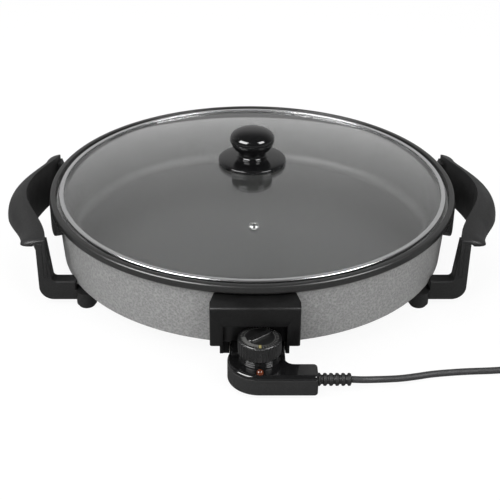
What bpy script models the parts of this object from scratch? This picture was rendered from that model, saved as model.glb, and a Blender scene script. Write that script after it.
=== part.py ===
"""Electric pizza pan: aluminium pan on bakelite handles, glass lid and plug-in thermostat with its cord.

Units are metres, +Z is up. The pan stands on its feet at z = 0 with the thermostat in front, at -Y.
Sizes and places are measured from the pan's own axis; the empty "pan_axis" carries everything.
"""

import math

import bmesh
import bpy
from mathutils import Matrix, Vector

# Clearances
GAP = 0.0003
SCREW_PLAY = 0.0004
OVERRUN = 0.004

# Pan
RIM_RADIUS = 0.210
RIM_TOP = 0.090
RIM_HEIGHT = 0.0110
RIM_BAND = 0.0072
RIM_HEEL_RADIUS = 0.2050
RIM_ROUNDING = 0.0025
LIP_WIDTH = 0.006
LEDGE_DEPTH = 0.0065
LEDGE_WIDTH = 0.0055
WALL_TOP_RADIUS = 0.203
WALL_FOOT_RADIUS = 0.1997
PAN_THICKNESS = 0.003
PAN_UNDERSIDE = 0.022
FOOT_ROUNDING = 0.003
FLOOR_ROUNDING = 0.012
BOSS_RADIUS = 0.005
BOSS_HEIGHT = 0.004

# Screws
SCREW_RADIUS = 0.0018
SCREW_HEAD_RADIUS = 0.0036
SCREW_HEAD_HEIGHT = 0.0024
SCREW_END_COVER = 0.0042

# Lid
RING_RADIUS = 0.2005
RING_LIP = 0.0045
RING_SHEET = 0.0008
GLASS_THICKNESS = 0.004
GLASS_FLANGE = 0.006
DOME_RISE = 0.0261
VENT_DISTANCE = 0.122
VENT_FLANGE_RADIUS = 0.0046
VENT_BARREL_RADIUS = 0.0030
VENT_BORE_RADIUS = 0.0016
VENT_SHEET = 0.0006

# Lid knob
KNOB_DISC_RADIUS = 0.0350
KNOB_DISC_EDGE = 0.0024
KNOB_DISC_RISE = 0.0024
KNOB_COLLAR_RADIUS = 0.0162
KNOB_COLLAR_HEIGHT = 0.0010
KNOB_NECK_RADIUS = 0.0148
KNOB_CAP_RADIUS = 0.0228
KNOB_UNDERCUT_HEIGHT = 0.0053
KNOB_CAP_HEIGHT = 0.0187
KNOB_HEIGHT = 0.0287
KNOB_SCREW_RADIUS = 0.0025
KNOB_SCREW_HEAD_RADIUS = 0.0050
KNOB_SCREW_HEAD_HEIGHT = 0.0030
KNOB_SCREW_REACH = 0.012
WASHER_RADIUS = 0.0090
WASHER_THICKNESS = 0.0015

# Handles, with sizes for the left one; the right one is its mirror image
HANDLE_HALF_LENGTH = 0.100
HANDLE_FRONT_INNER = 0.2040
HANDLE_REAR_INNER = 0.2156
HANDLE_MIDDLE_INNER = 0.2360
HANDLE_FRONT_OUTER = 0.2298
HANDLE_REAR_OUTER = 0.2308
HANDLE_MIDDLE_OUTER = 0.2580
HANDLE_END_TOP = 0.0753
HANDLE_END_BOTTOM = 0.0686
HANDLE_CREST_RISE = 0.0092
HANDLE_EDGE_DROP = 0.0135
HANDLE_SHELL = 0.004
HANDLE_WALL_FOOT = 0.033
HANDLE_WALL_LEAN = 0.0042
HANDLE_CORNER = 0.010
LEG_DEPTH = 0.0150
LEG_OUTER = 0.2141
LEG_END_INSET = 0.0004
LEG_WIDTH = 0.0137
LEG_TAPER = 0.0040
LEG_TOP = 0.0712
LEG_REAR_LEAN = 0.0062
LEG_REAR_TAPER = 0.0068
LEG_BAR_BOTTOM = 0.007
LEG_BAR_TOP = 0.028
LEG_CORNER = 0.014
LEG_INNER_CORNER = 0.004
TAB_REACH = 0.1405
TAB_THICKNESS = 0.0090
FOOT_X = 0.1672
FOOT_Y = 0.0975
FOOT_POST_RADIUS = 0.0100
RUBBER_HEIGHT = 0.003
RUBBER_RADIUS = 0.0085
RUBBER_STEM_RADIUS = 0.0030
RUBBER_STEM_HEIGHT = 0.006
HANDLE_SCREW_X = 0.1480

# Finger guards
GUARD_RADIUS = 0.2108
GUARD_HEIGHT = 0.0195
GUARD_HALF_ANGLE = 22.8
GUARD_TAPER_ANGLE = 7.5
GUARD_TAPER_RISE = 0.0150

# Terminal hood
HOOD_HALF_WIDTH = 0.0408
HOOD_REAR_HALF_WIDTH = 0.0360
HOOD_FRONT = 0.2205
HOOD_CHAMFER_FRONT = 0.2130
HOOD_FRONT_TOP = 0.0730
HOOD_BOTTOM = 0.0340
HOOD_SHELL = 0.003
HOOD_ROUNDING = 0.0036
HOOD_CORNER = 0.0022
HOOD_ROOT = 0.012
MOUTH_HALF_WIDTH = 0.0290
MOUTH_TOP = 0.0548
CHEEK_THICKNESS = 0.0030
CHEEK_FRONT = 0.2070
CHEEK_FRONT_BOTTOM = 0.0165
CHEEK_BOTTOM = 0.0055
CHEEK_REAR = 0.1640
EAR_LENGTH = 0.014
EAR_REACH = 0.0440
EAR_THICKNESS = 0.0032
HOOD_SCREW_X = 0.0385
HOOD_SCREW_Y = 0.1730

# Terminals under the pan
SOCKET_X = 0.0025
BLOCK_FRONT = 0.1900
BLOCK_REAR = 0.1620
BLOCK_BOTTOM = 0.0050
PIN_SPREAD = 0.0125
PIN_RADIUS = 0.0025
PIN_HEIGHT = 0.0120
PIN_FRONT = 0.2150
BLOCK_SCREW_SPREAD = 0.0190
BLOCK_SCREW_Y = 0.1760
PROBE_RADIUS = 0.0025
PROBE_HEIGHT = 0.0160
PROBE_TIP = 0.1250
SHEATH_WALL = 0.0010
SHEATH_REAR = 0.1190

# Heating element
ELEMENT_RADIUS = 0.1150
ELEMENT_TUBE_RADIUS = 0.0035
ELEMENT_BEND = 0.0220
ELEMENT_SEGMENTS = 40
CLIP_ANGLES = (30.0, 90.0, 150.0)
CLIP_WIDTH = 0.010
CLIP_SHEET = 0.0012
CLIP_PLAY = 0.0006
CLIP_FOOT = 0.009

# Thermostat
HEAD_X = 0.0040
HEAD_Y = 0.2257
HEAD_RADIUS = 0.0290
NOSE_HALF_WIDTH = 0.0250
NOSE_REAR = 0.1905
NOSE_UPPER_REAR = 0.2040
NOSE_STEP = 0.0006
ARM_END = 0.0557
ARM_REAR = 0.2331
ARM_CORNER = 0.0035
ARM_FILLET = 0.0080
CASE_BOTTOM = 0.0040
CASE_SPLIT = 0.0205
CASE_TOP = 0.0247
CASE_WALL = 0.0020
CASE_ROUNDING = 0.0030
NOSE_TOP = 0.0300
TURRET_BASE_RADIUS = 0.0192
TURRET_TOP_RADIUS = 0.0176
TURRET_TOP = 0.0322
DIAL_BOTTOM = 0.0328
DIAL_TOP = 0.0496
DIAL_SKIRT_RADIUS = 0.0197
DIAL_FACE_RADIUS = 0.0180
DIAL_RIB_DEPTH = 0.0005
DIAL_RIBS = 36
DIAL_SKIRT_HEIGHT = 0.0138
GRIP_LENGTH = 0.0250
GRIP_WIDTH = 0.0070
GRIP_RISE = 0.0022
GRIP_ANGLE = 38.0
SPINDLE_RADIUS = 0.0030
SPINDLE_FOOT = 0.0135
SPINDLE_REACH = 0.0060
LAMP_Y = 0.2490
LAMP_RADIUS = 0.0032
LAMP_TOP = 0.0285
LAMP_FOOT = 0.0170
LAMP_FLANGE = 0.0010
SWITCH_LENGTH = 0.0220
SWITCH_WIDTH = 0.0180
SWITCH_HEIGHT = 0.0065
SLEEVE_WALL = 0.0008
SLEEVE_LENGTH = 0.0250
SLEEVE_SETBACK = 0.0030
COLUMN_RADIUS = 0.0036
COLUMN_BORE_RADIUS = 0.0017
CASE_SCREW_RADIUS = 0.0013
CASE_SCREW_HEAD_RADIUS = 0.0027
CASE_SCREW_HEAD_HEIGHT = 0.0018
CASE_SCREW_RECESS = 0.0050
CASE_SCREW_PLACES = ((-0.0178, 0.2110), (0.0228, 0.2110), (0.0450, 0.2475))

# Cord
CORD_RADIUS = 0.0031
RELIEF_RADIUS = 0.0058
RELIEF_GROOVE_RADIUS = 0.0042
RELIEF_NECK_RADIUS = 0.0044
RELIEF_FLANGE_RADIUS = 0.0060
RELIEF_FLANGE = 0.0016
RELIEF_HEIGHT = 0.0143
RELIEF_LENGTH = 0.0300
RELIEF_RIBS = 5
CORD_ROUTE = (
    (0.0861, -0.2439, 0.0143),
    (0.0960, -0.2440, 0.0140),
    (0.1080, -0.2415, 0.0124),
    (0.1200, -0.2368, 0.0094),
    (0.1330, -0.2312, 0.0062),
    (0.1480, -0.2250, 0.0038),
    (0.1640, -0.2205, 0.0032),
    (0.1900, -0.2172, 0.0032),
    (0.2150, -0.2158, 0.0034),
    (0.2350, -0.2154, 0.0044),
    (0.2480, -0.2154, 0.0044),
)
CORD_POINT_STEP = 0.0075
COIL_CENTRE_X = 0.2880
COIL_MEAN_RADIUS = 0.0341
COIL_PITCH = 0.0078
COIL_LAYER_STEP = 0.0068
COIL_INNER_TURNS = 2.0
COIL_OUTER_TURNS = 1.75
COIL_POINTS_PER_TURN = 24
TIE_WIDTH = 0.0060
TIE_SHEET = 0.0010
TIE_ROOM = 0.0006
PLUG_GAP_ROUTE = (
    (0.0000, 0.0000, 0.0000),
    (0.0000, 0.0100, 0.0004),
    (0.0010, 0.0260, 0.0038),
    (0.0020, 0.0420, 0.0071),
    (0.0020, 0.0540, 0.0075),
)
PLUG_RADIUS = 0.0187
PLUG_NECK_RADIUS = 0.0095
PLUG_LENGTH = 0.0340
PLUG_BODY_LENGTH = 0.0190
PLUG_RELIEF_LENGTH = 0.0240
PLUG_RELIEF_RADIUS = 0.0060
PLUG_RELIEF_END_RADIUS = 0.0042
PLUG_PIN_RADIUS = 0.0024
PLUG_PIN_LENGTH = 0.0190
PLUG_PIN_SINK = 0.0080
PLUG_PIN_SPREAD = 0.0095

# Facets
PAN_STEPS = 64
GLASS_STEPS = 56
KNOB_STEPS = 24
SMALL_STEPS = 12
SCREW_STEPS = 8

UNDER_BOSS = PAN_UNDERSIDE - BOSS_HEIGHT
PAN_AXIS_Y = (HEAD_Y + HEAD_RADIUS - RIM_RADIUS) / 2
RING_BOTTOM = RIM_TOP - LEDGE_DEPTH + GAP
GLASS_BOTTOM = RING_BOTTOM + RING_SHEET + GAP
GLASS_TOP = GLASS_BOTTOM + GLASS_THICKNESS
RING_TOP = GLASS_TOP + GAP + RING_SHEET
GLASS_RADIUS = RING_RADIUS - RING_SHEET - GAP
DOME_RADIUS = GLASS_RADIUS - GLASS_FLANGE
SPHERE_RADIUS = (DOME_RADIUS ** 2 + DOME_RISE ** 2) / (2 * DOME_RISE)
DOME_TOP = GLASS_TOP + DOME_RISE
TAB_TOP = UNDER_BOSS - GAP
BLOCK_TOP = UNDER_BOSS - GAP
NOSE_X = SOCKET_X
COIL_BOTTOM = TIE_SHEET + TIE_ROOM
COIL_LOW = COIL_BOTTOM + CORD_RADIUS
COIL_OUT = COIL_MEAN_RADIUS + COIL_PITCH
COIL_CENTRE_Y = CORD_ROUTE[-1][1] + COIL_OUT

for old in list(bpy.data.objects):
    bpy.data.objects.remove(old, do_unlink=True)


def collection(name):
    """Return a new collection of the scene."""
    made = bpy.data.collections.new(name)
    bpy.context.scene.collection.children.link(made)
    return made


PARTS = collection("electric_pizza_pan")
CUTTERS = collection("cutters")


def material(name, colour, roughness, metallic=0.0):
    """Return a Principled material."""
    made = bpy.data.materials.new(name)
    made.use_nodes = True
    shader = made.node_tree.nodes["Principled BSDF"]
    shader.inputs["Base Color"].default_value = (*colour, 1.0)
    shader.inputs["Roughness"].default_value = roughness
    shader.inputs["Metallic"].default_value = metallic
    return made


ALUMINIUM = material("grey_coated_aluminium", (0.33, 0.33, 0.34), 0.45, 0.6)
BAKELITE = material("black_bakelite", (0.035, 0.035, 0.037), 0.42)
GLOSS = material("glossy_black_plastic", (0.012, 0.012, 0.013), 0.12)
MATTE = material("matte_black_plastic", (0.05, 0.05, 0.052), 0.6)
STEEL = material("stainless_steel", (0.62, 0.62, 0.63), 0.22, 1.0)
ZINC = material("zinc_plated_steel", (0.55, 0.55, 0.56), 0.35, 1.0)
GLASS = material("clear_glass", (0.80, 0.84, 0.83), 0.05)
RUBBER = material("black_rubber", (0.03, 0.03, 0.03), 0.8)
BRASS = material("brass", (0.75, 0.58, 0.28), 0.3, 1.0)
CERAMIC = material("white_ceramic", (0.8, 0.78, 0.74), 0.6)
LAMP = material("orange_lamp", (0.85, 0.22, 0.05), 0.2)
CORD = material("black_cord_sheath", (0.03, 0.03, 0.032), 0.5)


def empty(name, place, parent=None):
    """Return an empty that carries other objects."""
    made = bpy.data.objects.new(name, None)
    made.location = place
    made.parent = parent
    PARTS.objects.link(made)
    return made


PAN_AXIS = empty("pan_axis", (0.0, PAN_AXIS_Y, 0.0))
LID = empty("lid_lift_axis", (0.0, 0.0, GLASS_TOP), PAN_AXIS)
THERMOSTAT = empty("thermostat_slide_axis", (SOCKET_X, -NOSE_REAR, PIN_HEIGHT), PAN_AXIS)
DIAL = empty("dial_axis", (HEAD_X - SOCKET_X, NOSE_REAR - HEAD_Y, DIAL_BOTTOM - PIN_HEIGHT), THERMOSTAT)


def origin(parent):
    """Place of an empty, measured from the pan's axis."""
    place = Vector((0.0, 0.0, 0.0))
    while parent is not None and parent is not PAN_AXIS:
        place = place + parent.location
        parent = parent.parent
    return place


def add(name, mesh, parent, finish=None, turn=None):
    """Add an object whose mesh is measured from the pan's axis; without a finish it is a cutter."""
    bmesh_copy = bmesh.new()
    bmesh_copy.from_mesh(mesh)
    if turn is not None:
        bmesh_copy.transform(turn)
    bmesh_copy.transform(Matrix.Translation(-origin(parent)))
    bmesh_copy.to_mesh(mesh)
    bmesh_copy.free()
    made = bpy.data.objects.new(name, mesh)
    made.parent = parent
    if finish is None:
        CUTTERS.objects.link(made)
        made.hide_render = True
        made.display_type = "WIRE"
        return made
    mesh.materials.clear()
    mesh.materials.append(finish)
    mesh.shade_smooth()
    mesh.set_sharp_from_angle(angle=math.radians(30.0))
    PARTS.objects.link(made)
    return made


def modify(target, kind, tool):
    """Cut or join a tool solid."""
    boolean = target.modifiers.new(tool.name, "BOOLEAN")
    boolean.operation = kind
    boolean.object = tool
    boolean.solver = "EXACT"


def cut(target, tool):
    """Take a tool solid away."""
    modify(target, "DIFFERENCE", tool)


def fuse(target, tool):
    """Join a tool solid."""
    modify(target, "UNION", tool)


def soften(target, width, segments=2, angle=40.0):
    """Round an object's edges."""
    bevel = target.modifiers.new("rounded_edges", "BEVEL")
    bevel.width = width
    bevel.segments = segments
    bevel.limit_method = "ANGLE"
    bevel.angle_limit = math.radians(angle)
    bevel.miter_outer = "MITER_ARC"


def block_mesh(low, high):
    """Mesh of a box between two corners."""
    shape = bmesh.new()
    bmesh.ops.create_cube(shape, size=1.0)
    size = Vector(high) - Vector(low)
    bmesh.ops.scale(shape, vec=size, verts=shape.verts)
    bmesh.ops.translate(shape, vec=(Vector(high) + Vector(low)) / 2, verts=shape.verts)
    mesh = bpy.data.meshes.new("block")
    shape.to_mesh(mesh)
    shape.free()
    return mesh


def rod_mesh(start, end, radius, steps=SMALL_STEPS, end_radius=None):
    """Mesh of a round rod or cone between two points."""
    start = Vector(start)
    run = Vector(end) - start
    shape = bmesh.new()
    bmesh.ops.create_cone(
        shape,
        cap_ends=True,
        segments=steps,
        radius1=radius,
        radius2=radius if end_radius is None else end_radius,
        depth=run.length,
    )
    aim = run.to_track_quat("Z", "Y").to_matrix().to_4x4()
    shape.transform(Matrix.Translation(start + run / 2) @ aim)
    mesh = bpy.data.meshes.new("rod")
    shape.to_mesh(mesh)
    shape.free()
    return mesh


def evaluated_mesh(source):
    """Mesh of a curve or modified object, with its caps welded; the source is removed."""
    bpy.context.scene.collection.objects.link(source)
    graph = bpy.context.evaluated_depsgraph_get()
    mesh = bpy.data.meshes.new_from_object(source.evaluated_get(graph))
    bpy.data.objects.remove(source, do_unlink=True)
    shape = bmesh.new()
    shape.from_mesh(mesh)
    bmesh.ops.remove_doubles(shape, verts=shape.verts, dist=GAP / 100)
    bmesh.ops.recalc_face_normals(shape, faces=shape.faces)
    shape.to_mesh(mesh)
    shape.free()
    return mesh


def turned_mesh(profile, steps, closed=False):
    """Turn a profile of (radius, height) points, which runs down the outer side, about Z."""
    mesh = bpy.data.meshes.new("profile")
    edges = [(i, i + 1) for i in range(len(profile) - 1)]
    if closed:
        edges.append((len(profile) - 1, 0))
    mesh.from_pydata([(radius, 0.0, height) for radius, height in profile], edges, [])
    source = bpy.data.objects.new("turned", mesh)
    screw = source.modifiers.new("turn", "SCREW")
    screw.steps = steps
    screw.render_steps = steps
    screw.use_merge_vertices = True
    screw.merge_threshold = GAP / 100
    return evaluated_mesh(source)


def flat_mesh(outline, low, high):
    """Mesh of a flat outline with straight sides between two heights."""
    curve = bpy.data.curves.new("outline", "CURVE")
    curve.dimensions = "2D"
    curve.fill_mode = "BOTH"
    curve.extrude = (high - low) / 2
    line = curve.splines.new("POLY")
    line.points.add(len(outline) - 1)
    for point, (x, y) in zip(line.points, outline):
        point.co = (x, y, 0.0, 1.0)
    line.use_cyclic_u = True
    mesh = evaluated_mesh(bpy.data.objects.new("outline", curve))
    mesh.transform(Matrix.Translation((0.0, 0.0, (high + low) / 2)))
    return mesh


def tube_mesh(points, radius, resolution=2):
    """Mesh of a round tube through points."""
    curve = bpy.data.curves.new("route", "CURVE")
    curve.dimensions = "3D"
    curve.bevel_depth = radius
    curve.bevel_resolution = resolution
    curve.use_fill_caps = True
    line = curve.splines.new("POLY")
    line.points.add(len(points) - 1)
    for point, place in zip(line.points, points):
        point.co = (*place, 1.0)
    return evaluated_mesh(bpy.data.objects.new("route", curve))


def arc(centre, radius, start, end, steps):
    """Points of a flat arc, with its angles in degrees."""
    angles = [math.radians(start + (end - start) * i / steps) for i in range(steps + 1)]
    return [(centre[0] + radius * math.cos(a), centre[1] + radius * math.sin(a)) for a in angles]


def smooth_route(route, step):
    """Points at even steps along a smooth curve through a route's points."""
    places = [Vector(place) for place in route]
    before = 2 * places[0] - places[1]
    after = 2 * places[-1] - places[-2]
    guide = [before, *places, after]
    dense = []
    for a, b, c, d in zip(guide, guide[1:], guide[2:], guide[3:]):
        for i in range(20):
            t = i / 20
            bend = (2 * a - 5 * b + 4 * c - d) * t ** 2
            twist = (3 * b - a - 3 * c + d) * t ** 3
            dense.append((2 * b + (c - a) * t + bend + twist) / 2)
    dense.append(places[-1])
    runs = [0.0]
    for one, two in zip(dense, dense[1:]):
        runs.append(runs[-1] + (two - one).length)
    count = max(2, round(runs[-1] / step))
    points = []
    at = 0
    for i in range(count + 1):
        goal = runs[-1] * i / count
        while at < len(runs) - 2 and runs[at + 1] < goal:
            at += 1
        share = (goal - runs[at]) / (runs[at + 1] - runs[at])
        points.append(dense[at].lerp(dense[at + 1], share))
    return points, runs[-1]


# Pan

def wall_radius(height, clearance=0.0):
    """Outer radius of the pan's leaning wall at a height."""
    share = (height - PAN_UNDERSIDE) / (RIM_TOP - RIM_HEIGHT - PAN_UNDERSIDE)
    return WALL_FOOT_RADIUS + (WALL_TOP_RADIUS - WALL_FOOT_RADIUS) * share + clearance


def screw(name, x, y, head_low, end, parent=PAN_AXIS, radius=SCREW_RADIUS, head=SCREW_HEAD_RADIUS,
          height=SCREW_HEAD_HEIGHT):
    """A screw that points up, with its head below, as one turned solid."""
    profile = (
        (0.0, end),
        (radius, end),
        (radius, head_low + height),
        (head, head_low + height),
        (head, head_low + height / 3),
        (head * 0.7, head_low),
        (0.0, head_low),
    )
    return add(name, turned_mesh(profile, SCREW_STEPS), parent, ZINC, Matrix.Translation((x, y, 0.0)))


HANDLE_SCREW_Y = HANDLE_HALF_LENGTH - LEG_DEPTH / 2
HANDLE_SCREWS = [(side * HANDLE_SCREW_X, end * HANDLE_SCREW_Y) for side in (-1, 1) for end in (-1, 1)]
HOOD_SCREWS = [(side * HOOD_SCREW_X, -HOOD_SCREW_Y) for side in (-1, 1)]
BLOCK_SCREWS = [(SOCKET_X + side * BLOCK_SCREW_SPREAD, -BLOCK_SCREW_Y) for side in (-1, 1)]
CLIP_SCREW_RADIUS = ELEMENT_RADIUS - ELEMENT_TUBE_RADIUS - CLIP_SHEET - CLIP_FOOT / 2
CLIP_SCREWS = [
    (SOCKET_X + CLIP_SCREW_RADIUS * math.cos(angle), CLIP_SCREW_RADIUS * math.sin(angle))
    for angle in map(math.radians, CLIP_ANGLES)
]


def pan_body():
    """The one-piece pan: floor, leaning wall, ledge for the lid, rolled rim, and bosses under the floor."""
    floor_top = PAN_UNDERSIDE + PAN_THICKNESS
    ledge = RIM_TOP - LEDGE_DEPTH
    lip = RIM_RADIUS - LIP_WIDTH
    inner_top = lip - LEDGE_WIDTH
    inner_foot = WALL_FOOT_RADIUS - PAN_THICKNESS
    floor_arc = arc((inner_foot - FLOOR_ROUNDING, floor_top + FLOOR_ROUNDING), FLOOR_ROUNDING, -90.0, 0.0, 3)
    rim_arc = arc((RIM_RADIUS - RIM_ROUNDING, RIM_TOP - RIM_ROUNDING), RIM_ROUNDING, 90.0, 0.0, 2)
    foot_arc = arc(
        (WALL_FOOT_RADIUS - FOOT_ROUNDING, PAN_UNDERSIDE + FOOT_ROUNDING), FOOT_ROUNDING, 0.0, -90.0, 2
    )
    profile = [
        (0.0, floor_top),
        *floor_arc,
        (inner_top, ledge - PAN_THICKNESS),
        (inner_top, ledge),
        (lip, ledge),
        (lip, RIM_TOP),
        *rim_arc,
        (RIM_RADIUS, RIM_TOP - RIM_BAND),
        (RIM_HEEL_RADIUS, RIM_TOP - RIM_HEIGHT),
        (WALL_TOP_RADIUS, RIM_TOP - RIM_HEIGHT),
        *foot_arc,
        (0.0, PAN_UNDERSIDE),
    ]
    body = add("pan_body", turned_mesh(profile, PAN_STEPS), PAN_AXIS, ALUMINIUM)
    sunk = PAN_UNDERSIDE + PAN_THICKNESS / 2
    hole_end = floor_top - SCREW_END_COVER + SCREW_PLAY
    for number, (x, y) in enumerate(HANDLE_SCREWS + HOOD_SCREWS + BLOCK_SCREWS + CLIP_SCREWS):
        boss = rod_mesh((x, y, UNDER_BOSS), (x, y, sunk), BOSS_RADIUS, SCREW_STEPS)
        fuse(body, add(f"boss_{number}", boss, PAN_AXIS))
        low = UNDER_BOSS - OVERRUN
        hole = rod_mesh((x, y, low), (x, y, hole_end), SCREW_RADIUS + SCREW_PLAY, SCREW_STEPS)
        cut(body, add(f"boss_hole_{number}", hole, PAN_AXIS))
    return body


SCREW_END = PAN_UNDERSIDE + PAN_THICKNESS - SCREW_END_COVER


def pan_clearance():
    """Tool solid that keeps a neighbour clear of the pan's outside."""
    under_rim = RIM_TOP - RIM_HEIGHT - GAP
    profile = (
        (0.0, RIM_TOP + OVERRUN),
        (RIM_RADIUS + GAP, RIM_TOP + OVERRUN),
        (RIM_RADIUS + GAP, RIM_TOP - RIM_BAND - GAP),
        (RIM_HEEL_RADIUS + GAP, under_rim),
        (wall_radius(under_rim, GAP), under_rim),
        (wall_radius(PAN_UNDERSIDE, GAP), PAN_UNDERSIDE - GAP),
        (0.0, PAN_UNDERSIDE - GAP),
    )
    return add("pan_clearance", turned_mesh(profile, PAN_STEPS), PAN_AXIS)


pan_body()
CLEAR_OF_PAN = pan_clearance()


# Heating element

def element_path():
    """Points of the element: an open ring, with two legs that drop to the terminal pins."""
    height = PAN_UNDERSIDE - GAP - ELEMENT_TUBE_RADIUS
    centre_y = -ELEMENT_RADIUS - ELEMENT_BEND
    offset = PIN_SPREAD + ELEMENT_BEND
    turn = math.degrees(math.asin(offset / (ELEMENT_RADIUS + ELEMENT_BEND)))
    bend_y = -math.sqrt((ELEMENT_RADIUS + ELEMENT_BEND) ** 2 - offset ** 2)
    ring = arc((SOCKET_X, 0.0), ELEMENT_RADIUS, 270.0 - turn, -90.0 + turn, ELEMENT_SEGMENTS)
    right_bend = arc((SOCKET_X + offset, bend_y), ELEMENT_BEND, 90.0 + turn, 180.0, 5)
    left_bend = [(2 * SOCKET_X - x, y) for x, y in reversed(right_bend)]
    rear = -BLOCK_REAR + GAP
    straight = ELEMENT_TUBE_RADIUS * 2
    right_leg = [
        (SOCKET_X + PIN_SPREAD, rear + 2 * straight, (height + PIN_HEIGHT) / 2),
        (SOCKET_X + PIN_SPREAD, rear + straight, PIN_HEIGHT),
        (SOCKET_X + PIN_SPREAD, rear, PIN_HEIGHT),
    ]
    left_leg = [(2 * SOCKET_X - x, y, z) for x, y, z in reversed(right_leg)]
    flat = [(x, y, height) for x, y in left_bend + ring[1:-1] + right_bend]
    return left_leg + flat + right_leg


def element_clip(number, angle):
    """A saddle strap over the element's tube, with one foot under its boss."""
    top = UNDER_BOSS - GAP
    tube_z = PAN_UNDERSIDE - GAP - ELEMENT_TUBE_RADIUS
    inner = ELEMENT_TUBE_RADIUS + CLIP_PLAY
    outer = inner + CLIP_SHEET
    wrap = arc((ELEMENT_RADIUS, tube_z), outer, 0.0, -180.0, 8)
    lining = arc((ELEMENT_RADIUS, tube_z), inner, -180.0, 0.0, 8)
    foot_low = top - CLIP_SHEET
    outline = [(ELEMENT_RADIUS + outer, PAN_UNDERSIDE - GAP), *wrap]
    far = ELEMENT_RADIUS - outer + CLIP_SHEET
    outline = [point for point in outline if point[0] > far or point[1] < foot_low]
    outline += [
        (ELEMENT_RADIUS - outer, foot_low),
        (ELEMENT_RADIUS - outer - CLIP_FOOT, foot_low),
        (ELEMENT_RADIUS - outer - CLIP_FOOT, top),
        (ELEMENT_RADIUS - inner, top),
    ]
    outline += [point for point in lining if point[1] < top or point[0] > ELEMENT_RADIUS]
    outline.append((ELEMENT_RADIUS + inner, PAN_UNDERSIDE - GAP))
    mesh = flat_mesh(outline, -CLIP_WIDTH / 2, CLIP_WIDTH / 2)
    stand = Matrix.Rotation(math.radians(90.0), 4, "X")
    spin = Matrix.Translation((SOCKET_X, 0.0, 0.0)) @ Matrix.Rotation(math.radians(angle), 4, "Z")
    clip = add(f"element_clip_{number}", mesh, PAN_AXIS, ZINC, spin @ stand)
    x, y = CLIP_SCREWS[number - 1]
    hole = rod_mesh((x, y, foot_low - OVERRUN), (x, y, top + OVERRUN), SCREW_RADIUS + SCREW_PLAY, SCREW_STEPS)
    cut(clip, add(f"clip_hole_{number}", hole, PAN_AXIS))
    screw(f"element_clip_screw_{number}", x, y, foot_low - GAP - SCREW_HEAD_HEIGHT, SCREW_END)


add("heating_element", tube_mesh(element_path(), ELEMENT_TUBE_RADIUS, 2), PAN_AXIS, STEEL)
for clip_number, clip_angle in enumerate(CLIP_ANGLES, 1):
    element_clip(clip_number, clip_angle)


# Terminals and hood

def terminal_block():
    """Ceramic block that carries the two pins and passes the probe."""
    half = MOUTH_HALF_WIDTH - GAP
    body = add(
        "terminal_block",
        block_mesh((-half, -BLOCK_FRONT, BLOCK_BOTTOM), (half, -BLOCK_REAR, BLOCK_TOP)),
        PAN_AXIS,
        BAKELITE,
    )
    front = -BLOCK_FRONT - OVERRUN
    rear = -BLOCK_REAR + OVERRUN
    holes = [(SOCKET_X + side * PIN_SPREAD, PIN_HEIGHT, PIN_RADIUS) for side in (-1, 1)]
    slot_low = PROBE_HEIGHT - PROBE_RADIUS - GAP
    slot = block_mesh(
        (SOCKET_X - PROBE_RADIUS - GAP, front, slot_low),
        (SOCKET_X + PROBE_RADIUS + GAP, rear, BLOCK_TOP + OVERRUN),
    )
    cut(body, add("probe_slot", slot, PAN_AXIS))
    for number, (x, z, radius) in enumerate(holes):
        tool = rod_mesh((x, front, z), (x, rear, z), radius + GAP, SMALL_STEPS)
        cut(body, add(f"block_hole_{number}", tool, PAN_AXIS))
    for number, (x, y) in enumerate(BLOCK_SCREWS, 1):
        low = (x, y, BLOCK_BOTTOM - OVERRUN)
        tool = rod_mesh(low, (x, y, BLOCK_TOP + OVERRUN), SCREW_RADIUS + SCREW_PLAY, SCREW_STEPS)
        cut(body, add(f"block_screw_hole_{number}", tool, PAN_AXIS))
        screw(f"terminal_block_screw_{number}", x, y, BLOCK_BOTTOM - GAP - SCREW_HEAD_HEIGHT, SCREW_END)
    for side, name in ((-1, "left"), (1, "right")):
        x = SOCKET_X + side * PIN_SPREAD
        pin = rod_mesh((x, -PIN_FRONT, PIN_HEIGHT), (x, -BLOCK_REAR, PIN_HEIGHT), PIN_RADIUS, SMALL_STEPS)
        add(f"terminal_pin_{name}", pin, PAN_AXIS, BRASS)


def probe_sheath():
    """Open tube under the floor that receives the thermostat's probe."""
    bore = PROBE_RADIUS + GAP
    outer = bore + SHEATH_WALL
    start = -BLOCK_REAR + GAP
    profile = [(outer, -SHEATH_REAR), (outer, start), (bore, start), (bore, -SHEATH_REAR)]
    mesh = turned_mesh(profile, SMALL_STEPS, closed=True)
    lay = Matrix.Translation((SOCKET_X, 0.0, PROBE_HEIGHT)) @ Matrix.Rotation(math.radians(-90.0), 4, "X")
    add("probe_sheath", mesh, PAN_AXIS, STEEL, lay)


def hood_outline(inset):
    """Plan of the hood: narrow at the pan's wall, full width in front, with rounded front corners."""
    rear = -WALL_FOOT_RADIUS + HOOD_ROOT
    corner = max(HOOD_CORNER - inset, GAP)
    half = HOOD_HALF_WIDTH - inset
    front = -HOOD_FRONT + inset
    right = [
        *arc((half - corner, front + corner), corner, -90.0, 0.0, 3),
        (half, -HOOD_CHAMFER_FRONT),
        (HOOD_REAR_HALF_WIDTH - inset, -WALL_FOOT_RADIUS),
        (HOOD_REAR_HALF_WIDTH - inset, rear),
    ]
    return right + [(-x, y) for x, y in reversed(right)]


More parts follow.
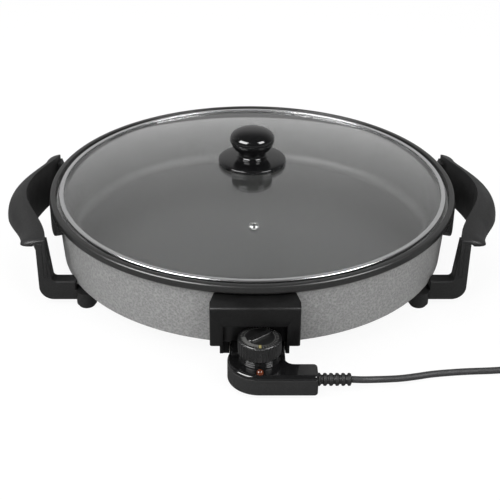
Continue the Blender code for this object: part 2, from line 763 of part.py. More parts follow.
def hood_shell():
    """Hood's outer shape: a side profile with a sloping top, trimmed to its plan and hollowed."""
    under_rim = RIM_TOP - RIM_HEIGHT
    slope = (under_rim - HOOD_FRONT_TOP) / (HOOD_FRONT - WALL_TOP_RADIUS)
    rear = -WALL_FOOT_RADIUS + HOOD_ROOT / 2
    lean = math.degrees(math.atan(slope))
    front = -HOOD_FRONT
    round_z = HOOD_FRONT_TOP - HOOD_ROUNDING * (1.0 - slope)
    side = [
        (rear, HOOD_BOTTOM),
        (rear, under_rim + slope * (rear + WALL_TOP_RADIUS)),
        *arc((front + HOOD_ROUNDING, round_z), HOOD_ROUNDING, 90.0 + lean, 180.0, 4),
        (front, HOOD_BOTTOM),
    ]
    upright = Matrix(((0, 0, 1, 0), (1, 0, 0, 0), (0, 1, 0, 0), (0, 0, 0, 1)))
    wide = HOOD_HALF_WIDTH + OVERRUN
    hood = add("terminal_hood", flat_mesh(side, -wide, wide), PAN_AXIS, BAKELITE, upright)
    plan = flat_mesh(hood_outline(0.0), HOOD_BOTTOM - OVERRUN, RIM_TOP + OVERRUN)
    modify(hood, "INTERSECT", add("hood_plan", plan, PAN_AXIS))
    hollow = flat_mesh(hood_outline(HOOD_SHELL), HOOD_BOTTOM - OVERRUN, HOOD_FRONT_TOP - HOOD_SHELL)
    cut(hood, add("hood_hollow", hollow, PAN_AXIS))
    return hood


def cheek_mesh(side):
    """Upright cheek beside the mouth, from the hood's side wall in under the pan."""
    outline = [
        (-CHEEK_FRONT, CHEEK_FRONT_BOTTOM),
        (-BLOCK_FRONT, CHEEK_BOTTOM),
        (-CHEEK_REAR, CHEEK_BOTTOM),
        (-CHEEK_REAR, PAN_UNDERSIDE + OVERRUN),
        (-WALL_FOOT_RADIUS + OVERRUN, PAN_UNDERSIDE + OVERRUN),
        (-WALL_FOOT_RADIUS + OVERRUN, MOUTH_TOP + OVERRUN),
        (-CHEEK_FRONT, MOUTH_TOP + OVERRUN),
    ]
    upright = Matrix(((0, 0, 1, 0), (1, 0, 0, 0), (0, 1, 0, 0), (0, 0, 0, 1)))
    outer = MOUTH_HALF_WIDTH + CHEEK_THICKNESS
    inner = MOUTH_HALF_WIDTH - CHEEK_THICKNESS / 2
    mesh = flat_mesh(outline, min(side * inner, side * outer), max(side * inner, side * outer))
    mesh.transform(upright)
    return mesh


def sided_block(side, near, far, low, high):
    """Box on one side of the middle plane: near and far are distances in X; low and high are (y, z)."""
    return block_mesh((min(side * near, side * far), *low), (max(side * near, side * far), *high))


def terminal_hood():
    """Black hood under the rim, with an open mouth, two cheeks and two screw ears."""
    hood = hood_shell()
    ear_top = UNDER_BOSS - GAP
    ear_low = ear_top - EAR_THICKNESS
    inside = MOUTH_HALF_WIDTH - CHEEK_THICKNESS / 2
    for side, name in ((-1, "left"), (1, "right")):
        fuse(hood, add(f"cheek_{name}", cheek_mesh(side), PAN_AXIS))
        link = sided_block(
            side,
            inside,
            HOOD_HALF_WIDTH - HOOD_SHELL / 2,
            (-CHEEK_FRONT - OVERRUN, HOOD_BOTTOM + GAP),
            (-CHEEK_FRONT + OVERRUN, HOOD_FRONT_TOP - HOOD_SHELL / 2),
        )
        fuse(hood, add(f"cheek_link_{name}", link, PAN_AXIS))
        ear = sided_block(
            side,
            MOUTH_HALF_WIDTH + CHEEK_THICKNESS / 2,
            EAR_REACH,
            (-HOOD_SCREW_Y - EAR_LENGTH / 2, ear_low),
            (-HOOD_SCREW_Y + EAR_LENGTH / 2, ear_top),
        )
        fuse(hood, add(f"ear_{name}", ear, PAN_AXIS))
    mouth = block_mesh(
        (-MOUTH_HALF_WIDTH, -HOOD_FRONT - OVERRUN, 0.0),
        (MOUTH_HALF_WIDTH, -CHEEK_REAR + OVERRUN, MOUTH_TOP),
    )
    cut(hood, add("hood_mouth", mouth, PAN_AXIS))
    cut(hood, CLEAR_OF_PAN)
    for number, (x, y) in enumerate(HOOD_SCREWS, 1):
        tool = rod_mesh(
            (x, y, ear_low - OVERRUN),
            (x, y, ear_top + OVERRUN),
            SCREW_RADIUS + SCREW_PLAY,
            SCREW_STEPS,
        )
        cut(hood, add(f"ear_hole_{number}", tool, PAN_AXIS))
        screw(f"hood_screw_{number}", x, y, ear_low - GAP - SCREW_HEAD_HEIGHT, SCREW_END)


terminal_block()
probe_sheath()
terminal_hood()


# Handles

def grip_section(share):
    """Outline of the left grip across its length, at a share of its half length."""
    y = abs(share) * HANDLE_HALF_LENGTH
    crest = 1.0 - share ** 2
    end_inner = HANDLE_FRONT_INNER if share < 0 else HANDLE_REAR_INNER
    end_outer = HANDLE_FRONT_OUTER if share < 0 else HANDLE_REAR_OUTER
    crest_x = -end_inner - (HANDLE_MIDDLE_INNER - end_inner) * crest ** 2
    crest_z = HANDLE_END_TOP + HANDLE_CREST_RISE * crest ** 0.75
    edge_x = -end_outer - (HANDLE_MIDDLE_OUTER - end_outer) * crest ** 2.6
    edge_z = HANDLE_END_BOTTOM - HANDLE_EDGE_DROP * crest
    past = y - (HANDLE_HALF_LENGTH - HANDLE_CORNER)
    if past > 0:
        edge_x += HANDLE_CORNER - math.sqrt(HANDLE_CORNER ** 2 - past ** 2)
    lean = HANDLE_WALL_LEAN if share < 0 else 0.0
    foot_x = crest_x + lean * crest
    steps = 5
    outer = []
    lining = []
    for i in range(steps + 1):
        angle = math.radians(90.0 * i / steps)
        out = crest_x + (edge_x - crest_x) * math.sin(angle)
        outer.append((out, edge_z + (crest_z - edge_z) * math.cos(angle)))
        inner_edge = edge_x + HANDLE_SHELL
        inner_crest = crest_x - HANDLE_SHELL
        room = crest_z - HANDLE_SHELL - edge_z
        under = inner_crest + (inner_edge - inner_crest) * math.sin(angle)
        lining.append((under, edge_z + room * math.cos(angle)))
    lining.reverse()
    return outer + lining + [(foot_x - HANDLE_SHELL, HANDLE_WALL_FOOT), (foot_x, HANDLE_WALL_FOOT)]


def loft_mesh(rings):
    """Skin a row of outlines that have the same number of points, and cap its ends."""
    count = len(rings[0])
    shape = bmesh.new()
    rows = [[shape.verts.new(place) for place in ring] for ring in rings]
    for one, two in zip(rows, rows[1:]):
        for i in range(count):
            j = (i + 1) % count
            shape.faces.new((one[i], one[j], two[j], two[i]))
    shape.faces.new(rows[0])
    shape.faces.new(list(reversed(rows[-1])))
    bmesh.ops.recalc_face_normals(shape, faces=shape.faces)
    mesh = bpy.data.meshes.new("loft")
    shape.to_mesh(mesh)
    shape.free()
    return mesh


def mirrored(side):
    """Mirror across X for the right side."""
    return Matrix.Diagonal((-side, 1.0, 1.0, 1.0))


def mirror_mesh(mesh, side):
    """Mirror a mesh drawn for the left side onto the given side, and keep its faces pointing out."""
    if side > 0:
        mesh.transform(mirrored(side))
        mesh.flip_normals()
    return mesh


def leg_mesh(end):
    """The leg at one end: a strut, which leans out at the rear, and a bar that runs in under the pan."""
    inner = -LEG_OUTER + LEG_WIDTH
    lean = LEG_REAR_LEAN if end > 0 else 0.0
    taper = LEG_REAR_TAPER if end > 0 else LEG_TAPER
    bar_end = -TAB_REACH
    outline = [
        *arc((-LEG_OUTER + LEG_CORNER, LEG_BAR_BOTTOM + LEG_CORNER), LEG_CORNER, 180.0, 270.0, 6),
        (-wall_radius(PAN_UNDERSIDE) * 0.86, LEG_BAR_BOTTOM),
        (-FOOT_X, TAB_TOP - TAB_THICKNESS),
        (bar_end, TAB_TOP - TAB_THICKNESS),
        (bar_end, TAB_TOP),
        (-FOOT_X - FOOT_POST_RADIUS, TAB_TOP),
        (-FOOT_X - FOOT_POST_RADIUS, LEG_BAR_TOP),
        *arc((inner + LEG_INNER_CORNER, LEG_BAR_TOP + LEG_INNER_CORNER), LEG_INNER_CORNER, 270.0, 180.0, 3),
        (inner - lean - taper, LEG_TOP),
        (-LEG_OUTER - lean, LEG_TOP),
    ]
    far = HANDLE_HALF_LENGTH - LEG_END_INSET
    low = -far if end < 0 else far - LEG_DEPTH
    mesh = flat_mesh(outline, -low - LEG_DEPTH, -low)
    mesh.transform(Matrix.Rotation(math.radians(90.0), 4, "X"))
    return mesh


def handle(side, name):
    """One bakelite moulding: grip shell, two legs, tabs under the pan and foot posts."""
    shares = [-1.0, -0.98, -0.93, -0.84, -0.7, -0.54, -0.37, -0.18, 0.0]
    shares += [-share for share in reversed(shares[:-1])]
    rings = [[(x, share * HANDLE_HALF_LENGTH, z) for x, z in grip_section(share)] for share in shares]
    body = add(f"handle_{name}", mirror_mesh(loft_mesh(rings), side), PAN_AXIS, BAKELITE)
    for end, end_name in ((-1, "front"), (1, "rear")):
        leg = add(f"leg_{name}_{end_name}", mirror_mesh(leg_mesh(end), side), PAN_AXIS)
        fuse(body, leg)
        x = side * FOOT_X
        y = end * FOOT_Y
        post_low = RUBBER_HEIGHT + GAP
        post = rod_mesh((x, y, post_low), (x, y, TAB_TOP), FOOT_POST_RADIUS)
        fuse(body, add(f"post_{name}_{end_name}", post, PAN_AXIS))
    cut(body, CLEAR_OF_PAN)
    for end, end_name in ((-1, "front"), (1, "rear")):
        x = side * FOOT_X
        y = end * FOOT_Y
        socket_top = RUBBER_HEIGHT + RUBBER_STEM_HEIGHT + GAP
        socket = rod_mesh((x, y, 0.0), (x, y, socket_top), RUBBER_STEM_RADIUS + GAP, SCREW_STEPS)
        cut(body, add(f"foot_socket_{name}_{end_name}", socket, PAN_AXIS))
        foot_profile = (
            (0.0, RUBBER_HEIGHT + RUBBER_STEM_HEIGHT),
            (RUBBER_STEM_RADIUS, RUBBER_HEIGHT + RUBBER_STEM_HEIGHT),
            (RUBBER_STEM_RADIUS, RUBBER_HEIGHT),
            (RUBBER_RADIUS, RUBBER_HEIGHT),
            (RUBBER_RADIUS, RUBBER_HEIGHT / 3),
            (RUBBER_RADIUS - RUBBER_HEIGHT / 3, 0.0),
            (0.0, 0.0),
        )
        foot = turned_mesh(foot_profile, SMALL_STEPS)
        add(f"rubber_foot_{name}_{end_name}", foot, PAN_AXIS, RUBBER, Matrix.Translation((x, y, 0.0)))
        screw_x = side * HANDLE_SCREW_X
        screw_y = end * (HANDLE_HALF_LENGTH - LEG_DEPTH / 2)
        tab_low = TAB_TOP - TAB_THICKNESS
        hole = rod_mesh(
            (screw_x, screw_y, tab_low - OVERRUN),
            (screw_x, screw_y, TAB_TOP + OVERRUN),
            SCREW_RADIUS + SCREW_PLAY,
            SCREW_STEPS,
        )
        cut(body, add(f"tab_hole_{name}_{end_name}", hole, PAN_AXIS))
        head_low = tab_low - GAP - SCREW_HEAD_HEIGHT
        screw(f"handle_screw_{name}_{end_name}", screw_x, screw_y, head_low, SCREW_END)


def finger_guard(side, name):
    """Black band under the rim behind the grip, tapered at both ends."""
    top = RIM_TOP - RIM_BAND - GAP
    low = RIM_TOP - RIM_HEIGHT - GAP - GUARD_HEIGHT
    steps = 16
    rings = []
    for i in range(steps + 1):
        angle = -GUARD_HALF_ANGLE + 2 * GUARD_HALF_ANGLE * i / steps
        into = (abs(angle) - (GUARD_HALF_ANGLE - GUARD_TAPER_ANGLE)) / GUARD_TAPER_ANGLE
        rise = GUARD_TAPER_RISE * max(0.0, into) ** 2
        ring = []
        for radius, z in (
            (WALL_FOOT_RADIUS, top),
            (GUARD_RADIUS, top),
            (GUARD_RADIUS, low + rise),
            (WALL_FOOT_RADIUS, low + rise),
        ):
            turn = math.radians(180.0 + angle)
            ring.append((radius * math.cos(turn), radius * math.sin(turn), z))
        rings.append(ring)
    guard = add(f"finger_guard_{name}", mirror_mesh(loft_mesh(rings), side), PAN_AXIS, BAKELITE)
    cut(guard, CLEAR_OF_PAN)


for handle_side, handle_name in ((-1, "left"), (1, "right")):
    handle(handle_side, handle_name)
    finger_guard(handle_side, handle_name)


# Lid

def dome_height(radius):
    """Height of the glass dome's upper face at a radius."""
    return DOME_TOP - SPHERE_RADIUS + math.sqrt(SPHERE_RADIUS ** 2 - radius ** 2)


def vent_frame():
    """Frame of the steam vent: on the dome's upper face, square to it."""
    lean = math.asin(VENT_DISTANCE / SPHERE_RADIUS)
    place = Vector((0.0, -VENT_DISTANCE, dome_height(VENT_DISTANCE)))
    return Matrix.Translation(place) @ Matrix.Rotation(lean, 4, "X")


def lid_glass():
    """Domed glass with a flat flange, a knob hole and a vent hole."""
    hole = KNOB_SCREW_RADIUS + SCREW_PLAY
    radii = [hole + (DOME_RADIUS - hole) * i / 5 for i in range(6)]
    upper = [(radius, dome_height(radius)) for radius in radii]
    lower = [(radius, dome_height(radius) - GLASS_THICKNESS) for radius in reversed(radii)]
    profile = [*upper, (GLASS_RADIUS, GLASS_TOP), (GLASS_RADIUS, GLASS_BOTTOM), *lower]
    glass = add("lid_glass", turned_mesh(profile, GLASS_STEPS, closed=True), LID, GLASS)
    room = rod_mesh(
        (0.0, 0.0, -GLASS_THICKNESS - OVERRUN),
        (0.0, 0.0, OVERRUN),
        VENT_BARREL_RADIUS + GAP,
        SMALL_STEPS,
    )
    cut(glass, add("vent_hole", room, LID, None, vent_frame()))


def lid_ring():
    """Steel channel rolled round the edge of the glass."""
    inner = RING_RADIUS - RING_LIP
    profile = [
        (inner, RING_TOP),
        (RING_RADIUS - RING_SHEET / 2, RING_TOP),
        (RING_RADIUS, RING_TOP - RING_SHEET / 2),
        (RING_RADIUS, RING_BOTTOM),
        (inner, RING_BOTTOM),
        (inner, RING_BOTTOM + RING_SHEET),
        (RING_RADIUS - RING_SHEET, RING_BOTTOM + RING_SHEET),
        (RING_RADIUS - RING_SHEET, RING_TOP - RING_SHEET),
        (inner, RING_TOP - RING_SHEET),
    ]
    add("lid_ring", turned_mesh(profile, GLASS_STEPS, closed=True), LID, STEEL)


def steam_vent():
    """Steel eyelet through the glass."""
    top = VENT_SHEET + GAP
    low = -GLASS_THICKNESS - GAP - VENT_SHEET
    profile = [
        (VENT_BORE_RADIUS, top),
        (VENT_FLANGE_RADIUS - VENT_SHEET / 2, top),
        (VENT_FLANGE_RADIUS, GAP),
        (VENT_BARREL_RADIUS, GAP),
        (VENT_BARREL_RADIUS, low + VENT_SHEET),
        (VENT_FLANGE_RADIUS, low + VENT_SHEET),
        (VENT_FLANGE_RADIUS - VENT_SHEET / 2, low),
        (VENT_BORE_RADIUS, low),
    ]
    add("steam_vent", turned_mesh(profile, SMALL_STEPS, closed=True), LID, STEEL, vent_frame())


DISC_SEAT = DOME_TOP + GAP
DISC_TOP = DISC_SEAT + KNOB_DISC_EDGE + KNOB_DISC_RISE
NECK_FOOT = DISC_TOP + KNOB_COLLAR_HEIGHT + GAP


def knob_disc():
    """Wide base disc of the knob, with a collar round the neck's foot."""
    bore = KNOB_SCREW_RADIUS + SCREW_PLAY
    rim_low = dome_height(KNOB_DISC_RADIUS) + GAP
    profile = [
        (bore, DISC_TOP + KNOB_COLLAR_HEIGHT),
        (KNOB_COLLAR_RADIUS - KNOB_COLLAR_HEIGHT / 3, DISC_TOP + KNOB_COLLAR_HEIGHT),
        (KNOB_COLLAR_RADIUS, DISC_TOP + KNOB_COLLAR_HEIGHT * 2 / 3),
        (KNOB_COLLAR_RADIUS, DISC_TOP),
        (KNOB_DISC_RADIUS * 0.8, DISC_TOP - KNOB_DISC_RISE * 0.35),
        (KNOB_DISC_RADIUS * 0.96, DISC_TOP - KNOB_DISC_RISE * 0.8),
        (KNOB_DISC_RADIUS, DISC_TOP - KNOB_DISC_RISE - KNOB_DISC_EDGE * 0.3),
        (KNOB_DISC_RADIUS, rim_low),
        (KNOB_DISC_RADIUS * 0.94, rim_low + GAP),
        (KNOB_DISC_RADIUS * 0.5, dome_height(KNOB_DISC_RADIUS * 0.5) + GAP),
        (bore, DISC_SEAT),
    ]
    add("knob_disc", turned_mesh(profile, KNOB_STEPS, closed=True), LID, GLOSS)


def knob():
    """Mushroom knob with a blind bore for its screw."""
    top = NECK_FOOT + KNOB_HEIGHT
    under = NECK_FOOT + KNOB_UNDERCUT_HEIGHT
    widest = NECK_FOOT + KNOB_CAP_HEIGHT
    bore = KNOB_SCREW_RADIUS + SCREW_PLAY
    bore_top = NECK_FOOT + KNOB_SCREW_REACH + SCREW_PLAY
    crown = []
    for i in range(6):
        angle = math.radians(90.0 * i / 5)
        height = widest + (top - widest) * math.cos(angle) ** 0.75
        crown.append((KNOB_CAP_RADIUS * math.sin(angle) ** 0.9, height))
    drop = widest - under
    profile = [
        *crown,
        (KNOB_CAP_RADIUS * 0.97, widest - drop * 0.25),
        (KNOB_CAP_RADIUS * 0.89, widest - drop * 0.57),
        (KNOB_CAP_RADIUS * 0.80, widest - drop * 0.8),
        (KNOB_NECK_RADIUS * 0.96, under),
        (KNOB_NECK_RADIUS * 0.95, NECK_FOOT + KNOB_UNDERCUT_HEIGHT / 2),
        (KNOB_NECK_RADIUS, NECK_FOOT),
        (bore, NECK_FOOT),
        (bore, bore_top),
        (0.0, bore_top),
    ]
    add("knob", turned_mesh(profile, KNOB_STEPS), LID, GLOSS)


def knob_fixing():
    """Screw and washer that hold the knob from below the glass."""
    washer_top = dome_height(WASHER_RADIUS) - GLASS_THICKNESS - GAP
    washer_low = washer_top - WASHER_THICKNESS
    hole = KNOB_SCREW_RADIUS + SCREW_PLAY
    ring = [(WASHER_RADIUS, washer_top), (WASHER_RADIUS, washer_low), (hole, washer_low), (hole, washer_top)]
    add("knob_washer", turned_mesh(ring, SMALL_STEPS, closed=True), LID, RUBBER)
    head_top = washer_low - GAP
    profile = (
        (0.0, NECK_FOOT + KNOB_SCREW_REACH),
        (KNOB_SCREW_RADIUS, NECK_FOOT + KNOB_SCREW_REACH),
        (KNOB_SCREW_RADIUS, head_top),
        (KNOB_SCREW_HEAD_RADIUS, head_top),
        (KNOB_SCREW_HEAD_RADIUS, head_top - KNOB_SCREW_HEAD_HEIGHT / 2),
        (KNOB_SCREW_HEAD_RADIUS / 2, head_top - KNOB_SCREW_HEAD_HEIGHT),
        (0.0, head_top - KNOB_SCREW_HEAD_HEIGHT),
    )
    add("knob_screw", turned_mesh(profile, SMALL_STEPS), LID, ZINC)


lid_glass()
lid_ring()
steam_vent()
knob_disc()
knob()
knob_fixing()


# Thermostat

def case_outline(inset, rear=NOSE_REAR):
    """Plan of the thermostat's case: round head, nose to the rear and arm to the right."""
    left = NOSE_X - NOSE_HALF_WIDTH + inset
    right = NOSE_X + NOSE_HALF_WIDTH - inset
    rear = -rear - inset
    radius = HEAD_RADIUS - inset
    reach = math.sqrt(radius ** 2 - (left - HEAD_X) ** 2)
    start = math.degrees(math.atan2(reach, left - HEAD_X))
    front = -HEAD_Y - radius
    end = ARM_END - inset
    arm_rear = -ARM_REAR - inset
    corner = max(ARM_CORNER - inset, GAP)
    fillet = ARM_FILLET + inset
    return [
        (left, rear),
        *arc((HEAD_X, -HEAD_Y), radius, start, 270.0, 11),
        *arc((end - corner, front + corner), corner, -90.0, 0.0, 3),
        *arc((end - corner, arm_rear - corner), corner, 0.0, 90.0, 3),
        *arc((right + fillet, arm_rear + fillet), fillet, -90.0, -180.0, 4),
        (right, rear),
    ]


def nose_outline(inset):
    """Plan of the raised block behind the dial."""
    half = NOSE_HALF_WIDTH - NOSE_STEP - inset
    front = -HEAD_Y + inset
    rear = -NOSE_UPPER_REAR - NOSE_STEP - inset
    return [(NOSE_X - half, rear), (NOSE_X - half, front), (NOSE_X + half, front), (NOSE_X + half, rear)]


def rounded_top_mesh(outline, low, top, rounding, steps=3):
    """Skin a plan upwards and round its upper edge."""
    rings = [[(x, y, low) for x, y in outline(0.0)]]
    for i in range(steps + 1):
        angle = math.radians(90.0 * i / steps)
        inset = rounding * (1.0 - math.cos(angle))
        height = top - rounding + rounding * math.sin(angle)
        rings.append([(x, y, height) for x, y in outline(inset)])
    return loft_mesh(rings)


def case_columns(target, low, high, radius, name):
    """Add the screw columns of the case."""
    for number, (x, y) in enumerate(CASE_SCREW_PLACES, 1):
        column = rod_mesh((x, -y, low), (x, -y, high), radius, SCREW_STEPS)
        fuse(target, add(f"{name}_{number}", column, THERMOSTAT))


def relief_hole(target, name):
    """Cut the strain relief's hole through the arm's end."""
    y = -(ARM_REAR + HEAD_Y + HEAD_RADIUS) / 2
    inner = ARM_END - CASE_WALL - OVERRUN / 4
    outer = ARM_END + OVERRUN
    tool = rod_mesh((inner, y, RELIEF_HEIGHT), (outer, y, RELIEF_HEIGHT), RELIEF_NECK_RADIUS + GAP)
    cut(target, add(name, tool, THERMOSTAT))


def case_base():
    """Matte lower shell: solid nose with bores for sleeves and probe, hollow head and arm, screw columns."""
    base = add("thermostat_base", flat_mesh(case_outline(0.0), CASE_BOTTOM, CASE_SPLIT), THERMOSTAT, MATTE)
    room_rear = NOSE_UPPER_REAR
    room = flat_mesh(case_outline(CASE_WALL, room_rear), CASE_BOTTOM + CASE_WALL, CASE_SPLIT + OVERRUN)
    cut(base, add("base_room", room, THERMOSTAT))
    case_columns(base, CASE_BOTTOM + CASE_WALL / 2, CASE_SPLIT, COLUMN_RADIUS, "base_column")
    for number, (x, y) in enumerate(CASE_SCREW_PLACES, 1):
        bore = rod_mesh((x, -y, 0.0), (x, -y, CASE_SPLIT + OVERRUN), COLUMN_BORE_RADIUS, SCREW_STEPS)
        cut(base, add(f"base_bore_{number}", bore, THERMOSTAT))
        recess = CASE_BOTTOM + CASE_SCREW_RECESS
        sink = rod_mesh((x, -y, 0.0), (x, -y, recess), CASE_SCREW_HEAD_RADIUS + SCREW_PLAY, SCREW_STEPS)
        cut(base, add(f"base_recess_{number}", sink, THERMOSTAT))
    inner = -room_rear - CASE_WALL - OVERRUN
    outer = -NOSE_REAR + OVERRUN
    sleeve_end = -NOSE_REAR - SLEEVE_SETBACK + GAP
    sleeve_radius = PIN_RADIUS + GAP + SLEEVE_WALL
    for side, name in ((-1, "left"), (1, "right")):
        x = SOCKET_X + side * PIN_SPREAD
        hole = rod_mesh((x, inner, PIN_HEIGHT), (x, outer, PIN_HEIGHT), PIN_RADIUS + 2 * GAP)
        cut(base, add(f"pin_hole_{name}", hole, THERMOSTAT))
        bore = rod_mesh((x, inner, PIN_HEIGHT), (x, sleeve_end, PIN_HEIGHT), sleeve_radius + GAP)
        cut(base, add(f"sleeve_bore_{name}", bore, THERMOSTAT))
    probe = rod_mesh((SOCKET_X, inner, PROBE_HEIGHT), (SOCKET_X, outer, PROBE_HEIGHT), PROBE_RADIUS + GAP)
    cut(base, add("probe_bore", probe, THERMOSTAT))
    relief_hole(base, "base_relief_hole")


def cover_outline(inset):
    """Plan of the glossy cover, which stops short of the pan's wall."""
    return case_outline(inset, NOSE_UPPER_REAR)


def case_cover():
    """Glossy cover: rounded top, raised nose, turret, lamp hole and spindle hole."""
    low = CASE_SPLIT + GAP
    top_mesh = rounded_top_mesh(cover_outline, low, CASE_TOP, CASE_ROUNDING)
    cover = add("thermostat_cover", top_mesh, THERMOSTAT, GLOSS)
    nose = rounded_top_mesh(nose_outline, low + GAP, NOSE_TOP, CASE_ROUNDING * 0.7, 2)
    fuse(cover, add("cover_nose", nose, THERMOSTAT))
    spot = (HEAD_X, -HEAD_Y)
    turret_ends = ((*spot, low + GAP), (*spot, TURRET_TOP))
    turret = rod_mesh(*turret_ends, TURRET_BASE_RADIUS, KNOB_STEPS, TURRET_TOP_RADIUS)
    fuse(cover, add("cover_turret", turret, THERMOSTAT))
    room = flat_mesh(cover_outline(CASE_WALL), low - OVERRUN, CASE_TOP - CASE_WALL)
    cut(cover, add("cover_room", room, THERMOSTAT))
    hollow_radius = TURRET_TOP_RADIUS - CASE_WALL
    hollow = rod_mesh((*spot, low - OVERRUN), (*spot, TURRET_TOP - CASE_WALL), hollow_radius, KNOB_STEPS)
    cut(cover, add("turret_room", hollow, THERMOSTAT))
    case_columns(cover, low, CASE_TOP - CASE_WALL / 2, COLUMN_RADIUS - GAP, "cover_column")
    for number, (x, y) in enumerate(CASE_SCREW_PLACES, 1):
        bore = rod_mesh((x, -y, 0.0), (x, -y, CASE_TOP - CASE_WALL * 0.6), COLUMN_BORE_RADIUS, SCREW_STEPS)
        cut(cover, add(f"cover_bore_{number}", bore, THERMOSTAT))
    shaft = rod_mesh((*spot, 0.0), (*spot, TURRET_TOP + OVERRUN), SPINDLE_RADIUS + GAP)
    cut(cover, add("spindle_hole", shaft, THERMOSTAT))
    lamp = rod_mesh((HEAD_X, -LAMP_Y, 0.0), (HEAD_X, -LAMP_Y, LAMP_TOP + OVERRUN), LAMP_RADIUS + GAP)
    cut(cover, add("lamp_hole", lamp, THERMOSTAT))


def lamp_lens():
    """Orange dome over the neon lamp, with a flange below the cover."""
    flange_top = CASE_TOP - CASE_WALL - GAP
    dome = []
    for i in range(4):
        angle = math.radians(90.0 * i / 4)
        dome.append((LAMP_RADIUS * math.sin(angle), LAMP_TOP - LAMP_RADIUS + LAMP_RADIUS * math.cos(angle)))
    profile = [
        *dome,
        (LAMP_RADIUS, LAMP_TOP - LAMP_RADIUS),
        (LAMP_RADIUS, flange_top),
        (LAMP_RADIUS - LAMP_FLANGE / 2, LAMP_FOOT),
        (0.0, LAMP_FOOT),
    ]
    place = Matrix.Translation((HEAD_X, -LAMP_Y, 0.0))
    add("lamp_lens", turned_mesh(profile, SMALL_STEPS), THERMOSTAT, LAMP, place)


def dial():
    """Ribbed dial with a raised grip bar and a blind bore for the spindle."""
    ribs = []
    steps = DIAL_RIBS * 2
    for i in range(steps):
        angle = 2 * math.pi * i / steps
        radius = DIAL_SKIRT_RADIUS - DIAL_RIB_DEPTH * (i % 2)
        ribs.append((HEAD_X + radius * math.cos(angle), -HEAD_Y + radius * math.sin(angle)))
    skirt_top = DIAL_BOTTOM + DIAL_SKIRT_HEIGHT
    body = add("dial", flat_mesh(ribs, DIAL_BOTTOM, skirt_top), DIAL, GLOSS)
    face_top = DIAL_TOP - GRIP_RISE
    crown_profile = [
        (0.0, face_top),
        (DIAL_FACE_RADIUS - GAP, face_top),
        (DIAL_FACE_RADIUS, face_top - GAP),
        (DIAL_SKIRT_RADIUS - 2 * DIAL_RIB_DEPTH, skirt_top - GAP),
        (0.0, skirt_top - GAP),
    ]
    place = Matrix.Translation((HEAD_X, -HEAD_Y, 0.0))
    fuse(body, add("dial_crown", turned_mesh(crown_profile, 28), DIAL, None, place))
    grip = block_mesh(
        (-GRIP_LENGTH / 2, -GRIP_WIDTH / 2, face_top - GRIP_RISE),
        (GRIP_LENGTH / 2, GRIP_WIDTH / 2, DIAL_TOP),
    )
    grip_tool = add("dial_grip", grip, DIAL, None, place @ Matrix.Rotation(math.radians(GRIP_ANGLE), 4, "Z"))
    soften(grip_tool, GRIP_RISE * 0.45, 2)
    fuse(body, grip_tool)
    bore_top = DIAL_BOTTOM + SPINDLE_REACH + GAP
    bore = rod_mesh((HEAD_X, -HEAD_Y, 0.0), (HEAD_X, -HEAD_Y, bore_top), SPINDLE_RADIUS + GAP)
    cut(body, add("dial_bore", bore, DIAL))
    spindle = rod_mesh(
        (HEAD_X, -HEAD_Y, SPINDLE_FOOT),
        (HEAD_X, -HEAD_Y, DIAL_BOTTOM + SPINDLE_REACH),
        SPINDLE_RADIUS,
    )
    add("dial_spindle", spindle, DIAL, BRASS)


def thermostat_works():
    """Switch block, contact sleeves, probe and case screws."""
    floor = CASE_BOTTOM + CASE_WALL + GAP
    sleeve_front = -NOSE_REAR - SLEEVE_SETBACK - SLEEVE_LENGTH
    switch = block_mesh(
        (HEAD_X - SWITCH_LENGTH / 2, sleeve_front - GAP - SWITCH_WIDTH, floor),
        (HEAD_X + SWITCH_LENGTH / 2, sleeve_front - GAP, floor + SWITCH_HEIGHT),
    )
    add("switch_block", switch, THERMOSTAT, CERAMIC)
    for side, name in ((-1, "left"), (1, "right")):
        x = SOCKET_X + side * PIN_SPREAD
        bore = PIN_RADIUS + GAP
        front = -NOSE_REAR - SLEEVE_SETBACK
        outer = bore + SLEEVE_WALL
        rear = front - SLEEVE_LENGTH
        profile = [(outer, front), (outer, rear), (bore, rear), (bore, front)]
        mesh = turned_mesh(profile, SMALL_STEPS, closed=True)
        lay = Matrix.Translation((x, 0.0, PIN_HEIGHT)) @ Matrix.Rotation(math.radians(-90.0), 4, "X")
        add(f"contact_sleeve_{name}", mesh, THERMOSTAT, BRASS, lay)
    probe_foot = -NOSE_REAR - CASE_WALL - SLEEVE_SETBACK
    tip = -PROBE_TIP
    probe = turned_mesh(
        [
            (0.0, tip),
            (PROBE_RADIUS * 0.6, tip),
            (PROBE_RADIUS, tip - PROBE_RADIUS * 0.4),
            (PROBE_RADIUS, probe_foot),
            (0.0, probe_foot),
        ],
        SMALL_STEPS,
    )
    lay = Matrix.Translation((SOCKET_X, 0.0, PROBE_HEIGHT)) @ Matrix.Rotation(math.radians(-90.0), 4, "X")
    add("probe_rod", probe, THERMOSTAT, STEEL, lay)
    for number, (x, y) in enumerate(CASE_SCREW_PLACES, 1):
        head_low = CASE_BOTTOM + CASE_SCREW_RECESS - GAP - CASE_SCREW_HEAD_HEIGHT
        screw(
            f"case_screw_{number}",
            x,
            -y,
            head_low,
            CASE_TOP - CASE_WALL,
            THERMOSTAT,
            CASE_SCREW_RADIUS,
            CASE_SCREW_HEAD_RADIUS,
            CASE_SCREW_HEAD_HEIGHT,
        )


